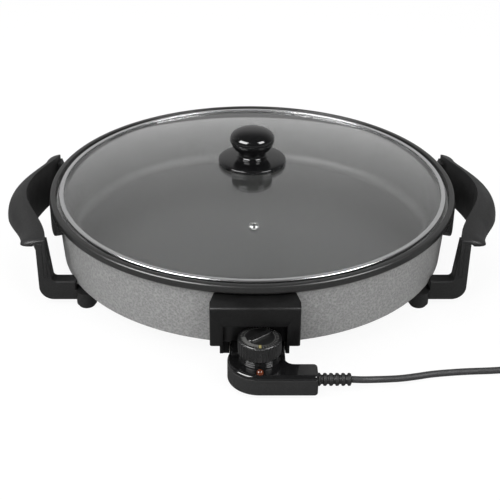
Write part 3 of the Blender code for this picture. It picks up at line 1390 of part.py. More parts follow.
def strain_relief():
    """Ribbed rubber strain relief in the arm's end, with a flange inside."""
    y = -(ARM_REAR + HEAD_Y + HEAD_RADIUS) / 2
    flange_end = ARM_END - CASE_WALL - GAP
    flange_start = flange_end - RELIEF_FLANGE
    end = CORD_ROUTE[0][0] - GAP
    profile = [(0.0, end), (CORD_RADIUS + GAP, end)]
    collar = ARM_END + GAP
    rib = (end - collar) / (RELIEF_RIBS + 0.5)
    for i in range(RELIEF_RIBS):
        top = end - rib * i
        profile.append((RELIEF_RADIUS, top - rib * 0.25))
        profile.append((RELIEF_RADIUS, top - rib * 0.7))
        profile.append((RELIEF_GROOVE_RADIUS, top - rib * 0.75))
        profile.append((RELIEF_GROOVE_RADIUS, top - rib))
    profile += [
        (RELIEF_FLANGE_RADIUS, collar + rib * 0.25),
        (RELIEF_FLANGE_RADIUS, collar),
        (RELIEF_NECK_RADIUS, collar),
        (RELIEF_NECK_RADIUS, flange_end),
        (RELIEF_FLANGE_RADIUS, flange_end),
        (RELIEF_FLANGE_RADIUS, flange_start),
        (0.0, flange_start),
    ]
    lay = Matrix.Translation((0.0, y, RELIEF_HEIGHT)) @ Matrix.Rotation(math.radians(90.0), 4, "Y")
    add("strain_relief", turned_mesh(profile, SMALL_STEPS), THERMOSTAT, RUBBER, lay)


case_base()
case_cover()
lamp_lens()
dial()
thermostat_works()
strain_relief()


# Cord, coil and mains plug

def coil_points():
    """Centre line of the coil: in over the lower layer, up in half a turn, and out over the upper layer."""
    half = 0.5
    total = COIL_INNER_TURNS + half + COIL_OUTER_TURNS
    count = round(total * COIL_POINTS_PER_TURN)
    points = []
    for i in range(count + 1):
        turns = total * i / count
        radius = COIL_OUT - COIL_PITCH * min(turns, COIL_INNER_TURNS)
        radius += COIL_PITCH * max(0.0, turns - COIL_INNER_TURNS - half)
        climb = min(max((turns - COIL_INNER_TURNS) / half, 0.0), 1.0)
        lift = COIL_LAYER_STEP * climb
        angle = 2 * math.pi * turns - math.pi / 2
        x = COIL_CENTRE_X + radius * math.cos(angle)
        y = COIL_CENTRE_Y + radius * math.sin(angle)
        points.append(Vector((x, y, COIL_LOW + lift)))
    return points


def least_gap(points, radius, skip):
    """Least gap between a tube and itself, measured on points along it."""
    fine = []
    for one, two in zip(points, points[1:]):
        fine.extend(one.lerp(two, i / 3) for i in range(3))
    fine.append(points[-1])
    least = None
    for i, one in enumerate(fine):
        for two in fine[i + skip:]:
            distance = (one - two).length
            if least is None or distance < least:
                least = distance
    return least - 2 * radius


def cord():
    """The free stretch, the coil that is put away beside the pan, its tie and the lead to the plug."""
    route = list(CORD_ROUTE)
    free, free_length = smooth_route(route, CORD_POINT_STEP)
    add("cord_free_stretch", tube_mesh(free, CORD_RADIUS, 3), THERMOSTAT, CORD)
    turns = coil_points()
    entry = Vector((CORD_ROUTE[-1][0] + GAP, turns[0].y, turns[0].z))
    leave = turns[-1] + Vector((0.0, 2 * CORD_RADIUS, 0.0))
    mid = entry.lerp(turns[0], 0.5)
    path = [entry, entry + Vector((2 * CORD_RADIUS, 0.0, 0.0)), mid.lerp(turns[0], 0.5), *turns, leave]
    add("cord_coil", tube_mesh(path, CORD_RADIUS, 1), THERMOSTAT, CORD)
    gap = least_gap(path, CORD_RADIUS, COIL_POINTS_PER_TURN * 3 // 2)
    coil_length = sum((two - one).length for one, two in zip(path, path[1:]))
    start = leave + Vector((0.0, GAP, 0.0))
    lead_route = [start + Vector(step) for step in PLUG_GAP_ROUTE]
    lead, lead_length = smooth_route(lead_route, CORD_POINT_STEP)
    add("cord_plug_lead", tube_mesh(lead, CORD_RADIUS, 3), THERMOSTAT, CORD)
    print(f"coil: least gap to itself {gap * 1000:.2f} mm")
    print(f"cord: free {free_length:.3f} m, coil {coil_length:.3f} m, lead {lead_length:.3f} m")
    return lead[-1]


def coil_tie():
    """Flat strap round all turns of the coil, on the side away from the climb."""
    low = COIL_OUT - 2 * COIL_PITCH - CORD_RADIUS - TIE_ROOM
    high = COIL_OUT + CORD_RADIUS + TIE_ROOM
    floor = 0.0
    roof = COIL_LOW + COIL_LAYER_STEP + CORD_RADIUS + TIE_ROOM
    outer = [
        (-high - TIE_SHEET, floor),
        (-low + TIE_SHEET, floor),
        (-low + TIE_SHEET, roof + TIE_SHEET),
        (-high - TIE_SHEET, roof + TIE_SHEET),
    ]
    inner = [(-high, floor + TIE_SHEET), (-low, floor + TIE_SHEET), (-low, roof), (-high, roof)]
    stand = Matrix.Rotation(math.radians(90.0), 4, "X")
    place = Matrix.Translation((COIL_CENTRE_X, COIL_CENTRE_Y, 0.0)) @ stand
    tie = add("cord_tie", flat_mesh(outer, -TIE_WIDTH / 2, TIE_WIDTH / 2), THERMOSTAT, RUBBER, place)
    room = flat_mesh(inner, -TIE_WIDTH, TIE_WIDTH)
    cut(tie, add("tie_room", room, THERMOSTAT, None, place))


def mains_plug(end):
    """Two-pin mains plug on its side on the table, with a tapered strain relief behind it."""
    lay = Matrix.Translation((end.x, 0.0, end.z)) @ Matrix.Rotation(math.radians(-90.0), 4, "X")
    relief_start = end.y + GAP
    relief_end = relief_start + PLUG_RELIEF_LENGTH
    relief = [
        (0.0, relief_end),
        (PLUG_RELIEF_RADIUS, relief_end),
        (PLUG_RELIEF_END_RADIUS, relief_start),
        (0.0, relief_start),
    ]
    add("plug_strain_relief", turned_mesh(relief, SMALL_STEPS), THERMOSTAT, RUBBER, lay)
    start = relief_end + GAP
    front = start + PLUG_LENGTH
    shoulder = front - PLUG_BODY_LENGTH
    body = [
        (0.0, front),
        (PLUG_RADIUS - GAP, front),
        (PLUG_RADIUS, front - GAP),
        (PLUG_RADIUS, shoulder),
        (PLUG_NECK_RADIUS, start + GAP),
        (PLUG_NECK_RADIUS - GAP, start),
        (0.0, start),
    ]
    plug = add("mains_plug", turned_mesh(body, 20), THERMOSTAT, RUBBER, lay)
    for side, name in ((-1, "left"), (1, "right")):
        x = end.x + side * PLUG_PIN_SPREAD
        foot = front - PLUG_PIN_SINK
        hole = rod_mesh((x, foot - GAP, end.z), (x, front + OVERRUN, end.z), PLUG_PIN_RADIUS + GAP)
        cut(plug, add(f"plug_pin_hole_{name}", hole, THERMOSTAT))
        pin = rod_mesh((x, foot, end.z), (x, front + PLUG_PIN_LENGTH, end.z), PLUG_PIN_RADIUS)
        add(f"plug_pin_{name}", pin, THERMOSTAT, ZINC)


CORD_END = cord()
coil_tie()
mains_plug(CORD_END)
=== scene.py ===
"""Electric pizza pan: coated aluminium pan, bakelite handles, glass lid and plug-in thermostat.

Metres, +Z up. Shapes are drawn about the pan's own axis, and set_down() moves them to the frame.
"""
import math

import bmesh
import bpy
import numpy as np
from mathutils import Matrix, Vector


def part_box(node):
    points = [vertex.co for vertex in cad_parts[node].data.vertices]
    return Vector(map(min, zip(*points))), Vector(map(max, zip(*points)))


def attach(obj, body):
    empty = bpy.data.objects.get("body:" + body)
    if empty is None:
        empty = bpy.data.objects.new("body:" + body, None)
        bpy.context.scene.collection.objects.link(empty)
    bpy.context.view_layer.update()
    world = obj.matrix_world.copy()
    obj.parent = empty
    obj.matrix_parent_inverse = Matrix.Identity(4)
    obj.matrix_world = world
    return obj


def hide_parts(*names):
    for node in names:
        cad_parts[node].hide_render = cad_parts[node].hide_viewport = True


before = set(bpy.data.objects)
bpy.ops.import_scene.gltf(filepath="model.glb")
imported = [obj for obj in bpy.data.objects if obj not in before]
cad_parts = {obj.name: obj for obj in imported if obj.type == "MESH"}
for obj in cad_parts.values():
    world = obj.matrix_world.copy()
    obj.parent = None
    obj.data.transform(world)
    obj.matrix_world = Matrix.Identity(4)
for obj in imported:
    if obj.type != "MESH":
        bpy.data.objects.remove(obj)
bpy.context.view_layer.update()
scene = bpy.context.scene
scene.view_settings.view_transform = "Standard"

# Camera
# The photograph looks from the front, 29.7 degrees down, with the pan's axis left of the frame's middle.
# A shift keeps the uprights as straight as the photograph's.
camera_data = bpy.data.cameras.new("camera")
camera_data.lens = 79.2
camera_data.sensor_width = 36.0
camera_data.shift_x = 0.03396
camera = bpy.data.objects.new("camera", camera_data)
camera.location = (-0.0198, -1.01515, 0.600)
camera.rotation_euler = (math.radians(90.0 - 29.72), 0.0, 0.0)
scene.collection.objects.link(camera)
scene.camera = camera

# Mains cord
# Round three-core lead in a dark grey sheath, 6.2 mm thick. It lies on the table, right of the thermostat.
# What the photograph doesn't show is wound up beside the pan, and ends at the plug.
PAN_AXIS = np.array((0.0, 0.02235, 0.0))
CORD_RADIUS = 0.0031
CORD_ROUTE = (
    (0.0861, -0.2439, 0.0143), (0.0960, -0.2440, 0.0140), (0.1080, -0.2415, 0.0124),
    (0.1200, -0.2368, 0.0094), (0.1330, -0.2312, 0.0062), (0.1480, -0.2250, 0.0038),
    (0.1640, -0.2205, 0.0032), (0.1900, -0.2172, 0.0032), (0.2150, -0.2158, 0.0034),
    (0.2350, -0.2154, 0.0044), (0.2480, -0.2154, 0.0047), (0.2640, -0.2154, 0.0047),
)
COIL_CENTRE = (0.2880, -0.1735)
COIL_RADIUS = 0.0419
COIL_PITCH = 0.0078
COIL_LOW = 0.0047
COIL_LIFT = 0.0068
COIL_TURNS = 4.25
PLUG_LEAD = ((0.0, 0.0062, 0.0), (0.0, 0.0165, 0.0004), (0.0010, 0.0325, 0.0038), (0.0020, 0.0485, 0.0071),
             (0.0020, 0.0605, 0.0075))


def through(points, steps):
    """Curve through points b, c with neighbours a, d.

    It is (2b + (c-a)t + (2a-5b+4c-d)t^2 + (3b-a-3c+d)t^3) / 2 for t from 0 to 1.
    """
    at = np.asarray(points, float)
    at = np.vstack((2 * at[0] - at[1], at, 2 * at[-1] - at[-2]))
    a, b, c, d = at[:-3, None], at[1:-2, None], at[2:-1, None], at[3:, None]
    t = np.linspace(0.0, 1.0, steps, endpoint=False)[None, :, None]
    square, cube = 2 * a - 5 * b + 4 * c - d, 3 * b - a - 3 * c + d
    spans = (2 * b + (c - a) * t + square * t ** 2 + cube * t ** 3) / 2
    return np.vstack((spans.reshape(-1, at.shape[1]), at[-2]))


def coil_line():
    """Coil: radius R - p·min(n, 2) + p·max(0, n - 2.5) at turn n, and height from the low to the high layer."""
    turn = np.linspace(0.0, COIL_TURNS, round(COIL_TURNS * 24) + 1)
    radius = COIL_RADIUS - COIL_PITCH * np.minimum(turn, 2.0) + COIL_PITCH * np.maximum(0.0, turn - 2.5)
    angle = 2 * np.pi * turn - np.pi / 2
    height = COIL_LOW + COIL_LIFT * np.clip((turn - 2.0) / 0.5, 0.0, 1.0)
    x = COIL_CENTRE[0] + radius * np.cos(angle)
    y = COIL_CENTRE[1] + radius * np.sin(angle)
    return np.stack((x, y, height), 1)


turns = coil_line()
lead = turns[-1] + np.array(PLUG_LEAD)
cord_line = through(np.vstack((CORD_ROUTE, turns, lead)), 4) + PAN_AXIS
plug_start = lead[-1]


def noise(nodes, links, source, scale, detail=3.0, roughness=0.5):
    """Noise texture that reads a vector socket."""
    made = nodes.new("ShaderNodeTexNoise")
    made.inputs["Scale"].default_value = scale
    made.inputs["Detail"].default_value = detail
    made.inputs["Roughness"].default_value = roughness
    links.new(source, made.inputs["Vector"])
    return made.outputs["Fac"]


def graded(nodes, links, value, low, high, start=0.35, end=0.65):
    """Map a value from start..end to low..high."""
    made = nodes.new("ShaderNodeMapRange")
    for name, number in (("From Min", start), ("From Max", end), ("To Min", low), ("To Max", high)):
        made.inputs[name].default_value = number
    links.new(value, made.inputs["Value"])
    return made.outputs["Result"]


def tinted(nodes, links, value, dark, light, start=0.35, end=0.65):
    """Colour ramp from dark to light over a value."""
    made = nodes.new("ShaderNodeValToRGB")
    made.color_ramp.elements[0].position = start
    made.color_ramp.elements[0].color = (*dark, 1.0)
    made.color_ramp.elements[1].position = end
    made.color_ramp.elements[1].color = (*light, 1.0)
    links.new(value, made.inputs["Fac"])
    return made.outputs["Color"]


def raised(nodes, links, shader, value, depth, strength=1.0):
    """Bump of a depth in metres from a value."""
    made = nodes.new("ShaderNodeBump")
    made.inputs["Distance"].default_value = depth
    made.inputs["Strength"].default_value = strength
    links.new(value, made.inputs["Height"])
    links.new(made.outputs["Normal"], shader.inputs["Normal"])


def finish(name, dark, light, grain, gloss, depth=0.0, metal=0.0, relief_grain=None, level=0.5):
    """Moulded, coated or metal finish: mottled colour, uneven gloss and fine relief, by place on the piece."""
    made = bpy.data.materials.new(name)
    made.use_nodes = True
    nodes, links = made.node_tree.nodes, made.node_tree.links
    shader = nodes["Principled BSDF"]
    shader.inputs["Metallic"].default_value = metal
    shader.inputs["Specular IOR Level"].default_value = level
    place = nodes.new("ShaderNodeTexCoord").outputs["Object"]
    mottle = noise(nodes, links, place, grain)
    links.new(tinted(nodes, links, mottle, dark, light), shader.inputs["Base Color"])
    smear = noise(nodes, links, place, grain / 9.0, 2.0)
    links.new(graded(nodes, links, smear, gloss[0], gloss[1]), shader.inputs["Roughness"])
    if depth:
        skin = noise(nodes, links, place, relief_grain or grain * 2.0, 2.0)
        raised(nodes, links, shader, skin, depth)
    return made


def dress(piece, body, slot, material, *nodes):
    """Give a piece its finish, its body and the CAD nodes it stands for."""
    piece.data.materials.clear()
    piece.data.materials.append(material)
    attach(piece, body)
    if nodes:
        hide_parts(*nodes)
    return piece


SHEATH = finish("cord_sheath", (0.026, 0.026, 0.027), (0.042, 0.042, 0.043), 900.0, (0.46, 0.60), 0.00004,
                level=0.3)
cord_data = bpy.data.curves.new("mains_cord", "CURVE")
cord_data.dimensions = "3D"
cord_data.bevel_depth = CORD_RADIUS
cord_data.bevel_resolution = 5
cord_data.use_fill_caps = True
cord_spline = cord_data.splines.new("POLY")
cord_spline.points.add(len(cord_line) - 1)
cord_spline.points.foreach_set("co", np.column_stack((cord_line, np.ones(len(cord_line)))).ravel())
cord_spline.use_smooth = True
mains_cord = bpy.data.objects.new("mains_cord", cord_data)
scene.collection.objects.link(mains_cord)
dress(mains_cord, "thermostat", "cord_sheath", SHEATH, "cord_free_stretch", "cord_coil", "cord_plug_lead")

# Pan
# One aluminium pressing: black non-stick inside, over the ledge and the rolled rim, grey hammertone outside.
# Eleven bosses under the floor take the screws of the handles, hood, terminals and element clips. Where the hood
# hides the wall, the wall is black as painted shade: the non-stick finish stands in for the shade inside the
# hood.
RIM_RADIUS, RIM_TOP, RIM_HEIGHT, RIM_BAND, RIM_HEEL = 0.210, 0.090, 0.0110, 0.0072, 0.2050
LIP_INNER, LEDGE_INNER, LEDGE_TOP = 0.204, 0.1985, 0.0835
WALL_TOP, WALL_FOOT, SHEET = 0.203, 0.1997, 0.003
UNDERSIDE, BOSS_LOW = 0.022, 0.018
GAP = 0.0003
BOSSES = (
    (-0.1480, -0.0925), (-0.1480, 0.0925), (0.1480, -0.0925), (0.1480, 0.0925), (-0.0385, -0.1730),
    (0.0385, -0.1730), (-0.0165, -0.1760), (0.0215, -0.1760), (0.094638, 0.0532), (0.0025, 0.1064),
    (-0.089638, 0.0532),
)


def quads(rows, columns, rows_close=False, columns_close=True):
    """Corners (i, j), (i+1, j), (i+1, j+1), (i, j+1) of a grid, counted by rows and wrapped where it closes."""
    i = np.arange(rows if rows_close else rows - 1)[:, None]
    j = np.arange(columns if columns_close else columns - 1)[None, :]
    down, right = (i + 1) % rows, (j + 1) % columns
    corners = np.stack((i * columns + j, down * columns + j, down * columns + right, i * columns + right), -1)
    return corners.reshape(-1, 4)


def turned(profile, steps, closed=False):
    """A profile of radius r and height h turned about Z: (r cos a, r sin a, h)."""
    r, h = np.asarray(profile, float).T
    a = np.linspace(0.0, 2 * np.pi, steps, endpoint=False)
    points = np.stack((np.outer(r, np.cos(a)), np.outer(r, np.sin(a)), np.outer(h, np.ones(steps))), -1)
    return points.reshape(-1, 3), [quads(len(r), steps, closed)]


def eased(profile, ease, closed=False, steps=5):
    """Rounds each corner B: (1-t)^2 A + 2t(1-t) B + t^2 C, with A and C at most ease back along its sides."""
    at = np.asarray(profile, float)
    reach = np.array(np.broadcast_to(ease, len(at)), float)
    if not closed:
        reach[0] = reach[-1] = 0.0
    ends = []
    for other in (np.roll(at, 1, 0), np.roll(at, -1, 0)):
        side = other - at
        long = np.linalg.norm(side, axis=1)
        ends.append(at + side * (np.minimum(reach, 0.48 * long) / long)[:, None])
    t = np.linspace(0.0, 1.0, steps + 1)[None, :, None]
    curve = (1 - t) ** 2 * ends[0][:, None] + 2 * t * (1 - t) * at[:, None] + t ** 2 * ends[1][:, None]
    return curve.reshape(-1, 2)


def ring_arc(x, z, radius, start, end, steps=8):
    """Points (x + r cos a, z + r sin a) of an arc, with its angles in degrees."""
    a = np.radians(np.linspace(start, end, steps + 1))
    return np.stack((x + radius * np.cos(a), z + radius * np.sin(a)), 1)


def set_down(name, shells, sharp=32.0):
    """One mesh of shells, each (points, faces): doubles merged, faces out, moved to the pan's axis."""
    places, faces, start = [], [], 0
    for points, sides in shells:
        places.append(points)
        for side in sides:
            faces += (np.asarray(side) + start).tolist()
        start += len(points)
    mesh = bpy.data.meshes.new(name)
    mesh.from_pydata((np.concatenate(places) + PAN_AXIS).tolist(), [], faces)
    shape = bmesh.new()
    shape.from_mesh(mesh)
    bmesh.ops.remove_doubles(shape, verts=shape.verts, dist=2e-6)
    bmesh.ops.recalc_face_normals(shape, faces=shape.faces)
    shape.to_mesh(mesh)
    shape.free()
    mesh.shade_smooth()
    mesh.set_sharp_from_angle(angle=math.radians(sharp))
    made = bpy.data.objects.new(name, mesh)
    scene.collection.objects.link(made)
    return made


def moved(shell, x=0.0, y=0.0, z=0.0):
    """The same shell at another place."""
    return shell[0] + np.array((x, y, z)), shell[1]


def hammertone():
    """Grey hammertone enamel: flecks of light and dark grey in the hollows of an orange-peel skin."""
    made = bpy.data.materials.new("hammertone")
    made.use_nodes = True
    nodes, links = made.node_tree.nodes, made.node_tree.links
    shader = nodes["Principled BSDF"]
    shader.inputs["Metallic"].default_value = 0.15
    place = nodes.new("ShaderNodeTexCoord").outputs["Object"]
    cells = nodes.new("ShaderNodeTexVoronoi")
    cells.feature = "SMOOTH_F1"
    cells.inputs["Scale"].default_value = 520.0
    links.new(place, cells.inputs["Vector"])
    fleck = noise(nodes, links, place, 1500.0, 4.0, 0.7)
    both = nodes.new("ShaderNodeMath")
    both.operation = "MULTIPLY_ADD"
    both.inputs[1].default_value = 0.55
    links.new(cells.outputs["Distance"], both.inputs[0])
    links.new(fleck, both.inputs[2])
    colour = tinted(nodes, links, both.outputs[0], (0.20, 0.20, 0.20), (0.39, 0.39, 0.385), 0.48, 0.98)
    links.new(colour, shader.inputs["Base Color"])
    links.new(graded(nodes, links, fleck, 0.38, 0.52), shader.inputs["Roughness"])
    raised(nodes, links, shader, both.outputs[0], 0.00012, 0.8)
    return made


HAMMERTONE = hammertone()
NON_STICK = finish("non_stick", (0.014, 0.014, 0.014), (0.026, 0.026, 0.0255), 1400.0, (0.28, 0.33), 0.000008)
floor_top = UNDERSIDE + SHEET
inner_foot = WALL_FOOT - SHEET
inside = np.vstack((
    [(0.0, floor_top), (0.06, floor_top), (0.12, floor_top)],
    ring_arc(inner_foot - 0.012, floor_top + 0.012, 0.012, -90.0, 0.0, 10),
    eased(
        [(inner_foot + 0.0001, floor_top + 0.013), (LEDGE_INNER, LEDGE_TOP - SHEET), (LEDGE_INNER, LEDGE_TOP),
         (LIP_INNER, LEDGE_TOP), (LIP_INNER, RIM_TOP), (RIM_RADIUS, RIM_TOP), (RIM_RADIUS, RIM_TOP - RIM_BAND),
         (RIM_HEEL, RIM_TOP - RIM_HEIGHT)],
        (0.0, 0.0, 0.0008, 0.0006, 0.0011, 0.0030, 0.0012, 0.0),
    ),
))
outside = np.vstack((
    [(RIM_HEEL, RIM_TOP - RIM_HEIGHT), (WALL_TOP, RIM_TOP - RIM_HEIGHT)],
    [(WALL_TOP + (WALL_FOOT - WALL_TOP) * share, RIM_TOP - RIM_HEIGHT + (0.025 - 0.079) * share)
     for share in (0.25, 0.5, 0.75)],
    ring_arc(WALL_FOOT - 0.003, UNDERSIDE + 0.003, 0.003, 0.0, -90.0, 8),
    [(0.15, UNDERSIDE), (0.08, UNDERSIDE), (0.0, UNDERSIDE)],
))
boss = turned(
    eased([(0.0022, UNDERSIDE + 0.001), (0.005, UNDERSIDE + 0.001), (0.005, BOSS_LOW), (0.0022, BOSS_LOW)],
          (0.0, 0.0, 0.0006, 0.0004), True), 32, True)
pan_shell = set_down("pan_shell", [turned(np.vstack((inside, outside)), 256)]
                     + [moved(boss, x, y) for x, y in BOSSES])
dress(pan_shell, "pan", "hammertone_aluminium", HAMMERTONE, "pan_body")
pan_shell.data.materials.append(NON_STICK)
face_middles = np.empty(len(pan_shell.data.polygons) * 3)
pan_shell.data.polygons.foreach_get("center", face_middles)
face_middles = face_middles.reshape(-1, 3) - PAN_AXIS
face_radius = np.hypot(face_middles[:, 0], face_middles[:, 1])
coat_and_painted_shade = (face_middles[:, 2] > RIM_TOP - RIM_HEIGHT) & (face_radius > WALL_TOP - 0.001)
coat_and_painted_shade |= (face_middles[:, 2] > floor_top - 0.0004) & (face_radius < WALL_FOOT - 0.0014)
coat_and_painted_shade |= (face_middles[:, 2] > 0.05) & (face_radius < WALL_TOP - 0.0019)
# painted shade: the wall inside the hood takes the black non-stick finish, standing in for the shade there
coat_and_painted_shade |= (np.abs(face_middles[:, 0]) < 0.033) & (face_middles[:, 1] < -0.19)
pan_shell.data.polygons.foreach_set("material_index", coat_and_painted_shade.astype(np.int32))

# Handles and finger guards
# Two black bakelite mouldings: a hollow grip that swells outwards, two struts, and bars that run in to the feet.
# Four screws from below hold each one. A black band under the rim keeps the fingers off the hot wall.
BAKELITE = finish("bakelite", (0.015, 0.015, 0.0152), (0.023, 0.023, 0.0232), 700.0, (0.42, 0.50), 0.00003,
                  level=0.28)
GRIP_HALF = 0.100
GRIP_FRONT = (0.2040, 0.2298)
GRIP_REAR = (0.2156, 0.2308)
GRIP_MIDDLE = (0.2360, 0.2580)
GRIP_SHELL = 0.004
GRIP_FOOT = 0.033
BAR_LOW, BAR_TOP, TAB_TOP, TAB_SHEET = 0.007, 0.028, BOSS_LOW - GAP, 0.009
FOOT_PLACE = (0.1672, 0.0975)
SCREW_PLACE = (0.1480, 0.0925)


def inset(outline, depth):
    """Outline drawn in by a depth: a point moves along (m + n) / (1 + m.n) of its side normals m and n."""
    at = np.asarray(outline, float)
    side = np.roll(at, -1, 0) - at
    side = side / np.maximum(np.linalg.norm(side, axis=1), 1e-12)[:, None]
    out = np.stack((side[:, 1], -side[:, 0]), 1)
    last = np.roll(out, 1, 0)
    lean = np.maximum(1.0 + (out * last).sum(1), 0.35)
    return at - depth * (out + last) / lean[:, None]


def counter_clockwise(outline):
    """Outline in the turning sense in which its area, half the sum of x dy - y dx, is positive."""
    at = np.asarray(outline, float)
    ahead = np.roll(at, -1, 0)
    return at if (at[:, 0] * ahead[:, 1] - ahead[:, 0] * at[:, 1]).sum() > 0 else at[::-1]


def slab(outline, low, high, low_ease=0.0, top_ease=0.0, steps=5):
    """Outline carried from low to high; an edge is rounded by e(1 - cos a) inwards over a rise of e sin a."""
    at = counter_clockwise(outline)
    rows = []
    for ease, end, sign in ((low_ease, low, 1.0), (top_ease, high, -1.0)):
        angles = np.radians(np.linspace(0.0, 90.0, (steps if ease else 0) + 1))
        angles = angles if sign > 0 else angles[::-1]
        for a in angles:
            flat = inset(at, ease * (1.0 - math.sin(a))) if ease else at
            rise = np.full(len(at), end + sign * ease * (1.0 - math.cos(a)))
            rows.append(np.column_stack((flat, rise)))
    count = len(at)
    points = np.concatenate(rows)
    ends = [[list(range(count))], [list(range(len(points) - count, len(points)))]]
    return points, [quads(len(rows), count), *ends]


def skinned(rings):
    """Closed outlines, one after another, joined by quads and capped at both ends."""
    rings = np.asarray(rings, float)
    rows, count = rings.shape[:2]
    ends = [[list(range(count))], [list(range((rows - 1) * count, rows * count))]]
    return rings.reshape(-1, 3), [quads(rows, count), *ends]


def rod(x, y, low, high, radius, steps=32):
    """Upright round bar."""
    return moved(turned([(0.0, low), (radius, low), (radius, high), (0.0, high)], steps), x, y)


def carved(name, base, changes, soften=0.0, sharp=32.0):
    """Solid with others joined or taken away by exact Booleans, then its edges softened; kept as one mesh."""
    made = set_down(name, [base])
    tools = []
    for kind, shell in changes:
        tool = set_down(f"{name}_tool", [shell])
        step = made.modifiers.new(tool.name, "BOOLEAN")
        step.operation = kind
        step.object = tool
        step.solver = "EXACT"
        tools.append(tool)
    if soften:
        bevel = made.modifiers.new("softened", "BEVEL")
        bevel.width = soften
        bevel.segments = 2
        bevel.limit_method = "ANGLE"
        bevel.angle_limit = math.radians(38.0)
        bevel.miter_outer = "MITER_ARC"
    bpy.context.view_layer.update()
    graph = bpy.context.evaluated_depsgraph_get()
    mesh = bpy.data.meshes.new_from_object(made.evaluated_get(graph))
    made.modifiers.clear()
    made.data = mesh
    for tool in tools:
        bpy.data.objects.remove(tool, do_unlink=True)
    mesh.shade_smooth()
    mesh.set_sharp_from_angle(angle=math.radians(sharp))
    return made


def grip_section(share):
    """Section of the left grip at a share of its half length: a quarter ellipse, its lining, and the wall.

    With c = 1 - share^2, the crest is at end - (middle - end) c^2 and the edge at end - (middle - end) c^2.6.
    """
    ends = GRIP_FRONT if share < 0 else GRIP_REAR
    swell = 1.0 - share ** 2
    crest_x = -ends[0] - (GRIP_MIDDLE[0] - ends[0]) * swell ** 2
    crest_z = 0.0753 + 0.0092 * swell ** 0.75
    edge_x = -ends[1] - (GRIP_MIDDLE[1] - ends[1]) * swell ** 2.6
    edge_z = 0.0686 - 0.0135 * swell
    past = abs(share) * GRIP_HALF - (GRIP_HALF - 0.010)
    if past > 0:
        edge_x += 0.010 - math.sqrt(max(0.010 ** 2 - past ** 2, 0.0))
    foot_x = crest_x + (0.0042 * swell if share < 0 else 0.0)
    a = np.radians(np.linspace(0.0, 90.0, 15))
    outer = np.stack((crest_x + (edge_x - crest_x) * np.sin(a), edge_z + (crest_z - edge_z) * np.cos(a)), 1)
    low_x, low_z = crest_x - GRIP_SHELL, crest_z - GRIP_SHELL
    under_x = low_x + (edge_x + GRIP_SHELL - low_x) * np.sin(a)
    under = np.stack((under_x, edge_z + (low_z - edge_z) * np.cos(a)), 1)
    foot = [(foot_x - GRIP_SHELL, GRIP_FOOT), (foot_x, GRIP_FOOT)]
    return counter_clockwise(np.vstack((outer, under[::-1], foot)))


def grip():
    """Left grip: its sections set along Y, closer towards the ends, which are drawn in to soften them."""
    shares = np.sin(np.radians(np.linspace(-90.0, 90.0, 61)))
    rings = [np.insert(grip_section(share), 1, share * GRIP_HALF, axis=1) for share in shares[1:-1]]
    for end in (-1.0, 1.0):
        caps = []
        for a in np.radians((60.0, 30.0, 0.0)):
            flat = inset(grip_section(end), 0.0010 * (1.0 - math.sin(a)))
            y = end * (GRIP_HALF - 0.0010 * (1.0 - math.cos(a)))
            caps.append(np.insert(flat, 1, y, axis=1))
        rings = caps[::-1] + rings if end < 0 else rings + caps
    return skinned(rings)


def leg(end):
    """Left leg at one end: outline in X and Z, carried along Y. The rear strut leans out and tapers more."""
    inner = -0.2141 + 0.0137
    lean, taper = (0.0062, 0.0068) if end > 0 else (0.0, 0.0040)
    outline = np.vstack((
        ring_arc(-0.2141 + 0.014, BAR_LOW + 0.014, 0.014, 180.0, 270.0, 14),
        [(-0.1717, BAR_LOW), (-FOOT_PLACE[0], TAB_TOP - TAB_SHEET), (-0.1405, TAB_TOP - TAB_SHEET),
         (-0.1405, TAB_TOP), (-FOOT_PLACE[0] - 0.010, TAB_TOP), (-FOOT_PLACE[0] - 0.010, BAR_TOP)],
        ring_arc(inner + 0.004, BAR_TOP + 0.004, 0.004, 270.0, 180.0, 6),
        [(inner - lean - taper, 0.0712), (-0.2141 - lean, 0.0712)],
    ))
    far = GRIP_HALF - 0.0004
    near, away = (-far, -far + 0.015) if end < 0 else (far - 0.015, far)
    points, faces = slab(outline, near, away, 0.0013, 0.0013)
    return points[:, [0, 2, 1]], faces


def pan_room(steps=192):
    """Space that the pan's outside needs, one gap wider all round."""
    low = RIM_TOP - RIM_HEIGHT - GAP
    return turned([
        (0.0, RIM_TOP + 0.004), (RIM_RADIUS + GAP, RIM_TOP + 0.004),
        (RIM_RADIUS + GAP, RIM_TOP - RIM_BAND - GAP),
        (RIM_HEEL + GAP, low), (WALL_TOP - 0.00002 + GAP, low), (WALL_FOOT + GAP, UNDERSIDE - GAP),
        (0.0, UNDERSIDE - GAP),
    ], steps)


def across(shell, side):
    """The left side's shell, or its mirror image for the right."""
    return (shell[0] * (-side, 1.0, 1.0), shell[1]) if side > 0 else shell


def guard():
    """Left finger guard: a band's section carried round the wall, its lower edge rising at both ends."""
    angle = np.radians(np.linspace(-22.8, 22.8, 73))
    into = np.clip((np.abs(np.degrees(angle)) - 15.3) / 7.5, 0.0, None)
    low = 0.0592 + 0.0150 * into ** 2
    top = np.minimum(RIM_TOP - RIM_BAND - GAP, 0.09)
    wall = WALL_FOOT + (WALL_TOP - WALL_FOOT) * (low - UNDERSIDE) / 0.057 + GAP
    ones = np.ones_like(low)
    soft = 0.0012
    r = np.stack((wall, wall + soft, 0.2108 - soft * ones, 0.2108 - 0.3 * soft * ones, 0.2108 * ones,
                  0.2108 * ones, 0.2108 * ones, 0.2106 * ones, 0.2103 * ones, 0.2053 * ones, 0.2033 * ones), 1)
    z = np.stack((low + soft * 0.3, low, low, low + 0.3 * soft, low + soft, 0.5 * (low + top),
                  (top - 0.0005) * ones, (top - 0.0001) * ones, top * ones, 0.0787 * ones, 0.0787 * ones), 1)
    turn = angle[:, None] + np.pi
    return skinned(np.stack((r * np.cos(turn), r * np.sin(turn), z), -1))


